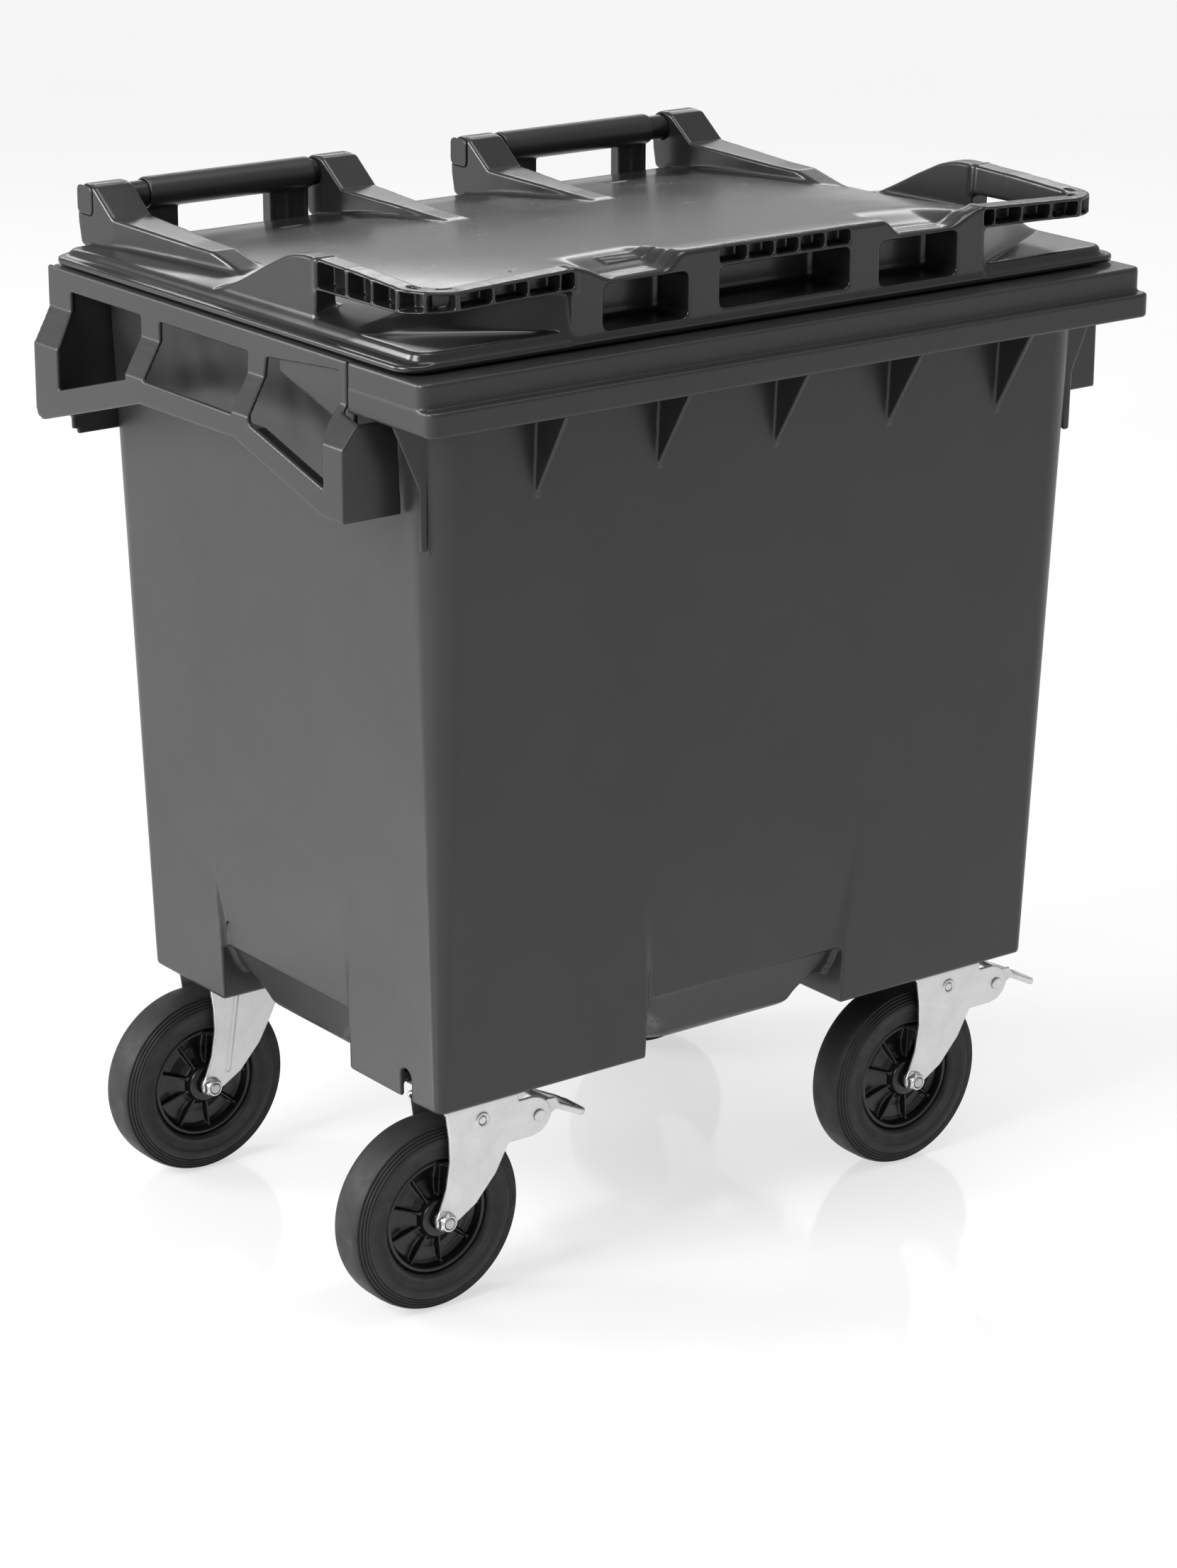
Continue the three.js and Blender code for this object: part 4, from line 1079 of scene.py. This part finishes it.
def skin(field, budget):
    """A field's surface as points, faces and the normals of the field's own slope."""
    points, faces = field.surface()
    if COARSE == 1.0 and 2 * len(faces) > budget:
        points, faces = thinned(points, faces, budget)
    return points, faces, field.normals(points, 0.8 * COARSE)


def moulded(name, field, budget):
    return mesh_from(name, *skin(field, budget))


def moulded_pair(name, field, budget):
    """A mesh for the right side and its mirror image for the left."""
    points, faces, normals = skin(field, budget)
    turned_over = points * (-1, 1, 1), faces[:, ::-1], normals * (-1, 1, 1)
    return (
        ("right", mesh_from(name.format("right"), points, faces, normals)),
        ("left", mesh_from(name.format("left"), *turned_over)),
    )


def place(mesh, name, at=(0, 0, 0)):
    piece = bpy.data.objects.new(name, mesh)
    piece.location = Vector(at) * MM
    bpy.context.scene.collection.objects.link(piece)
    return piece


# ---------------- materials
class Nodes:
    """Short ways to add shader nodes to one material."""

    def __init__(self, name):
        self.material = bpy.data.materials.new(name)
        self.material.use_nodes = True
        self.tree = self.material.node_tree
        self.shader = self.tree.nodes["Principled BSDF"]
        self.place = self.add("ShaderNodeTexCoord").outputs["Object"]

    def add(self, kind, **settings):
        node = self.tree.nodes.new(kind)
        for key, value in settings.items():
            setattr(node, key, value)
        return node

    def put(self, socket, value):
        if isinstance(value, bpy.types.NodeSocket):
            self.tree.links.new(value, socket)
        else:
            socket.default_value = value

    def noise(self, scale, detail=3.0, rough=0.55, stretch=None):
        node = self.add("ShaderNodeTexNoise")
        self.put(node.inputs["Scale"], scale)
        self.put(node.inputs["Detail"], detail)
        self.put(node.inputs["Roughness"], rough)
        place = self.place
        if stretch:
            mapping = self.add("ShaderNodeMapping")
            self.put(mapping.inputs["Vector"], place)
            self.put(mapping.inputs["Scale"], stretch)
            place = mapping.outputs["Vector"]
        self.put(node.inputs["Vector"], place)
        return node.outputs["Fac"]

    def cells(self, scale):
        node = self.add("ShaderNodeTexVoronoi", feature="F1")
        self.put(node.inputs["Scale"], scale)
        self.put(node.inputs["Vector"], self.place)
        return node.outputs["Color"]

    def grade(self, value, low, high, start, stop):
        node = self.add("ShaderNodeMapRange")
        keys = ("Value", "From Min", "From Max", "To Min", "To Max")
        for key, v in zip(keys, (value, low, high, start, stop)):
            self.put(node.inputs[key], v)
        return node.outputs["Result"]

    def math(self, operation, a, b=0.0):
        node = self.add("ShaderNodeMath", operation=operation)
        self.put(node.inputs[0], a)
        self.put(node.inputs[1], b)
        return node.outputs["Value"]

    def tint(self, value, dark, light):
        node = self.add("ShaderNodeMix", data_type="RGBA")
        self.put(node.inputs["Factor"], value)
        self.put(node.inputs["A"], (*dark, 1))
        self.put(node.inputs["B"], (*light, 1))
        return node.outputs["Result"]

    def relief(self, height, strength, distance):
        node = self.add("ShaderNodeBump")
        self.put(node.inputs["Strength"], strength)
        self.put(node.inputs["Distance"], distance)
        self.put(node.inputs["Height"], height)
        self.put(self.shader.inputs["Normal"], node.outputs["Normal"])

    def set(self, **values):
        for key, value in values.items():
            self.put(self.shader.inputs[key.replace("_", " ")], value)


def grey(value, blue=1.0):
    return (value, value, value * blue)


def plastic(name, base, spread, roughness, swing, grain, coat=0.0):
    """Moulded polyethylene: faint flow mottling, a fine grain and uneven gloss."""
    n = Nodes(name)
    flow = n.noise(5.0, 4.0, 0.6)
    fine = n.noise(900.0, 2.0)
    shade = n.math("ADD", n.grade(flow, 0.3, 0.7, 0.0, 0.8), n.grade(fine, 0.3, 0.7, 0.0, 0.2))
    n.set(Base_Color=n.tint(shade, grey(base - spread), grey(base + spread)))
    n.set(Roughness=n.grade(n.noise(14.0, 5.0, 0.65), 0.3, 0.7, roughness - swing, roughness + swing))
    n.set(IOR=1.49, Coat_Weight=coat, Coat_Roughness=0.12)
    n.relief(fine, grain, 0.0004)
    return n.material


def zinc_material(name, base=0.62, roughness=0.3):
    """Bright zinc plating with faint crystals and drawing marks."""
    n = Nodes(name)
    spangle = n.cells(210.0)
    cloud = n.noise(30.0, 4.0, 0.6)
    shade = n.math("ADD", n.math("MULTIPLY", spangle, 0.25), n.grade(cloud, 0.3, 0.7, 0.0, 0.75))
    n.set(Base_Color=n.tint(shade, grey(base - 0.07), grey(base + 0.1)))
    n.set(Metallic=0.9)
    gloss = n.math("ADD", n.math("MULTIPLY", spangle, 0.3), cloud)
    n.set(Roughness=n.grade(gloss, 0.3, 1.0, roughness - 0.07, roughness + 0.12))
    n.relief(n.noise(420.0, 3.0), 0.12, 0.0003)
    return n.material


def rubber_material(name):
    n = Nodes(name)
    cloud = n.noise(26.0, 4.0, 0.6)
    n.set(Base_Color=n.tint(n.grade(cloud, 0.3, 0.7, 0.0, 1.0), grey(0.007), grey(0.012)))
    n.set(Roughness=n.grade(n.noise(60.0, 4.0), 0.3, 0.7, 0.5, 0.68))
    n.relief(n.noise(1400.0, 2.0), 0.16, 0.0003)
    return n.material


def floor_material(name):
    n = Nodes(name)
    cloud = n.noise(1.3, 3.0)
    n.set(Base_Color=n.tint(n.grade(cloud, 0.3, 0.7, 0.0, 1.0), grey(0.40), grey(0.43)))
    n.set(Roughness=n.grade(n.noise(3.0, 3.0), 0.3, 0.7, 0.07, 0.1))
    n.set(IOR=1.8, Emission_Color=(1, 1, 1, 1), Emission_Strength=0.6)
    return n.material


BODY = plastic("body plastic", 0.019, 0.003, 0.36, 0.04, 0.16)
LID = plastic("lid plastic", 0.012, 0.002, 0.25, 0.03, 0.05, 0.15)
PIN = plastic("pin plastic", 0.014, 0.002, 0.3, 0.04, 0.08)
HUB = plastic("wheel plastic", 0.006, 0.001, 0.27, 0.05, 0.06)
TYRE = rubber_material("tyre rubber")
ZINC = zinc_material("zinc plating")
ZINC_DULL = zinc_material("zinc plating on small parts", 0.5, 0.36)


# ---------------- the pieces
LIFT = (0, CENTRE_Y, 0)


def body_with(node):
    """The moving body that carries a CAD node."""
    return frame["nodes"][node]["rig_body"]


def finish_piece(piece, material, paint, body, *nodes):
    if not piece.data.materials:
        piece.data.materials.append(material)
    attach(piece, body)
    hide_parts(*nodes)


def add_body_piece(mesh, name, node, material, paint):
    finish_piece(place(mesh, name, LIFT), material, paint, body_with(node), node)


add_body_piece(moulded("tub", tub_field(), 190000), "tub_form", "container_tub", BODY, "body_plastic")
for part, make, budget in (("side_frame", side_frame_field, 70000), ("hinge_bar", hinge_bar_field, 40000)):
    for side, mesh in moulded_pair(part + "_mesh_{}", make(), budget):
        node = part + "_" + side
        add_body_piece(mesh, node + "_form", node, BODY, "body_plastic")

add_body_piece(moulded("lid_mesh", lid_field(), 195000), "lid_form", "lid", LID, "lid_plastic")

for part, spans in (
    ("outer", (306, 398, ARM_OUTER[1] - 3, ARM_OUTER[1] + 0.5)),
    ("inner", (73, 150, ARM_INNER[0] - 0.5, ARM_INNER[0] + 3)),
):
    for side, mesh in moulded_pair("pin_mesh_{}_" + part, hinge_pin_field(*spans), 12000):
        node = "hinge_pin_" + side + "_" + part
        add_body_piece(mesh, node + "_form", node, PIN, "pin_plastic")

wheel_spot = (-TRAIL, 0, WHEEL_R)
castor_meshes = {
    "top_plate": (moulded("plate_mesh", plate_field(), 9000), (0, 0, 0), ZINC_DULL),
    "ball_race": (moulded("race_mesh", race_field(), 14000), (0, 0, 0), ZINC_DULL),
    "kingpin": (moulded("kingpin_mesh", kingpin_field(), 5000), (0, 0, 0), ZINC_DULL),
    "fork": (moulded("fork_mesh", fork_field(False), 40000), (0, 0, 0), ZINC),
    "rim": (moulded("rim_mesh", rim_field(), 60000), wheel_spot, HUB),
    "axle": (moulded("axle_mesh", axle_field(), 12000), wheel_spot, ZINC_DULL),
    "nut": (moulded("nut_mesh", nut_field(), 12000), wheel_spot, ZINC),
}
castor_meshes["tyre"] = (mesh_from("tyre_mesh", *tyre_mesh()), wheel_spot, TYRE)
bush = Field(steps((-12.3, 13, 0.6)), steps((-31.7, 33, 1.2)), steps((-12.3, 13, 0.6)))
bush.add(turned("y", (0, 0, 0), [
    (AXLE_R + 0.25, -29.2), (9.2, -29.2), (10, -28.4), (10, 28.4), (9.2, 29.2), (AXLE_R + 0.25, 29.2),
]))
castor_meshes["bush"] = (moulded("bush_mesh", bush, 5000), wheel_spot, HUB)
braked_fork = moulded("fork_mesh_braked", fork_field(True), 46000)
brake_meshes = {
    "brake_pedal": (moulded("pedal_mesh", pedal_field(), 24000), (0, 0, 0)),
    "brake_shoe": (moulded("shoe_mesh", shoe_field(), 14000), (0, 0, 0)),
    "brake_pin": (moulded("shoe_pin_mesh", pin_field(35, 5.4), 4000), (SHOE_X, 0, SHOE_Z)),
    "brake_pedal_pin": (moulded("pedal_pin_mesh", pin_field(36, 7), 5000), (PEDAL_X, 0, PEDAL_Z)),
}
spots = {
    "front_left": (-SWIVEL_X, -SWIVEL_Y),
    "front_right": (SWIVEL_X, -SWIVEL_Y),
    "rear_left": (-SWIVEL_X, SWIVEL_Y),
    "rear_right": (SWIVEL_X, SWIVEL_Y),
}
castor_paint = {"tyre": "tyre_rubber", "rim": "rim_plastic", "bush": "bush_plastic"}
for spot, (x, y) in spots.items():
    for part, (mesh, at, material) in castor_meshes.items():
        node = "castor_" + part + "_" + spot
        if part == "fork" and spot.startswith("front"):
            mesh = braked_fork
        piece = place(mesh, node + "_form", (x + at[0], y + at[1] + CENTRE_Y, at[2]))
        finish_piece(piece, material, castor_paint.get(part, "zinc_steel"), body_with(node), node)
    if spot.startswith("front"):
        for part, (mesh, at) in brake_meshes.items():
            node = part + "_" + spot
            piece = place(mesh, node + "_form", (x + at[0], y + at[1] + CENTRE_Y, at[2]))
            finish_piece(piece, ZINC, "zinc_steel", body_with(node), node)


# ---------------- floor, lights and camera
floor = bpy.data.objects.new("floor", bpy.data.meshes.new("floor"))
floor.data.from_pydata([(-30, -30, 0), (30, -30, 0), (30, 30, 0), (-30, 30, 0)], [], [(0, 1, 2, 3)])
floor.data.materials.append(floor_material("studio floor"))
bpy.context.scene.collection.objects.link(floor)
floor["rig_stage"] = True


def lamp(name, place, aim, width, height, power):
    light = bpy.data.lights.new(name, "AREA")
    light.shape = "RECTANGLE"
    light.size, light.size_y, light.energy = width, height, power
    holder = bpy.data.objects.new(name, light)
    holder.location = place
    holder.rotation_euler = (Vector(aim) - Vector(place)).to_track_quat("-Z", "Y").to_euler()
    bpy.context.scene.collection.objects.link(holder)


world = bpy.data.worlds.new("studio")
world.use_nodes = True
world.node_tree.nodes["Background"].inputs["Color"].default_value = (1, 1, 1, 1)
world.node_tree.nodes["Background"].inputs["Strength"].default_value = 0.45
bpy.context.scene.world = world
lamp("key from the left", (-4.2, -0.3, 3.0), (0, 0, 0.8), 2.0, 2.2, 200)
lamp("sheen from the rear left", (-3.4, 2.7, 1.9), (-0.4, 0, 0.9), 1.4, 1.6, 110)
lamp("strip behind", (2.6, 4.6, 3.0), (0, 0, 1.0), 4.6, 0.5, 42)
lamp("soft top", (0.2, -0.4, 4.4), (0, 0, 0.5), 2.2, 2.2, 60)

camera = bpy.data.objects.new("camera", bpy.data.cameras.new("camera"))
camera.data.sensor_fit = "VERTICAL"
camera.data.sensor_height = 36
camera.data.sensor_width = 36 * 1660 / 2212
camera.data.lens = 98.65
camera.data.clip_end = 100
yaw, pitch, roll = math.radians(37.073), math.radians(18.545), math.radians(0.227)
camera.location = (-2.6315, (-3479.4 + CENTRE_Y) * MM, 1.8835)
turn = Matrix.Rotation(-yaw, 3, "Z") @ Matrix.Rotation(math.pi / 2 - pitch, 3, "X")
turn = turn @ Matrix.Rotation(roll, 3, "Z")
camera.rotation_euler = turn.to_euler()
bpy.context.scene.collection.objects.link(camera)
bpy.context.scene.camera = camera
bpy.context.scene.view_settings.view_transform = "Standard"

sizes = {"cad": cad_box, "visual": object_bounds()}
{key: [list(corner) for corner in value] for key, value in sizes.items()}
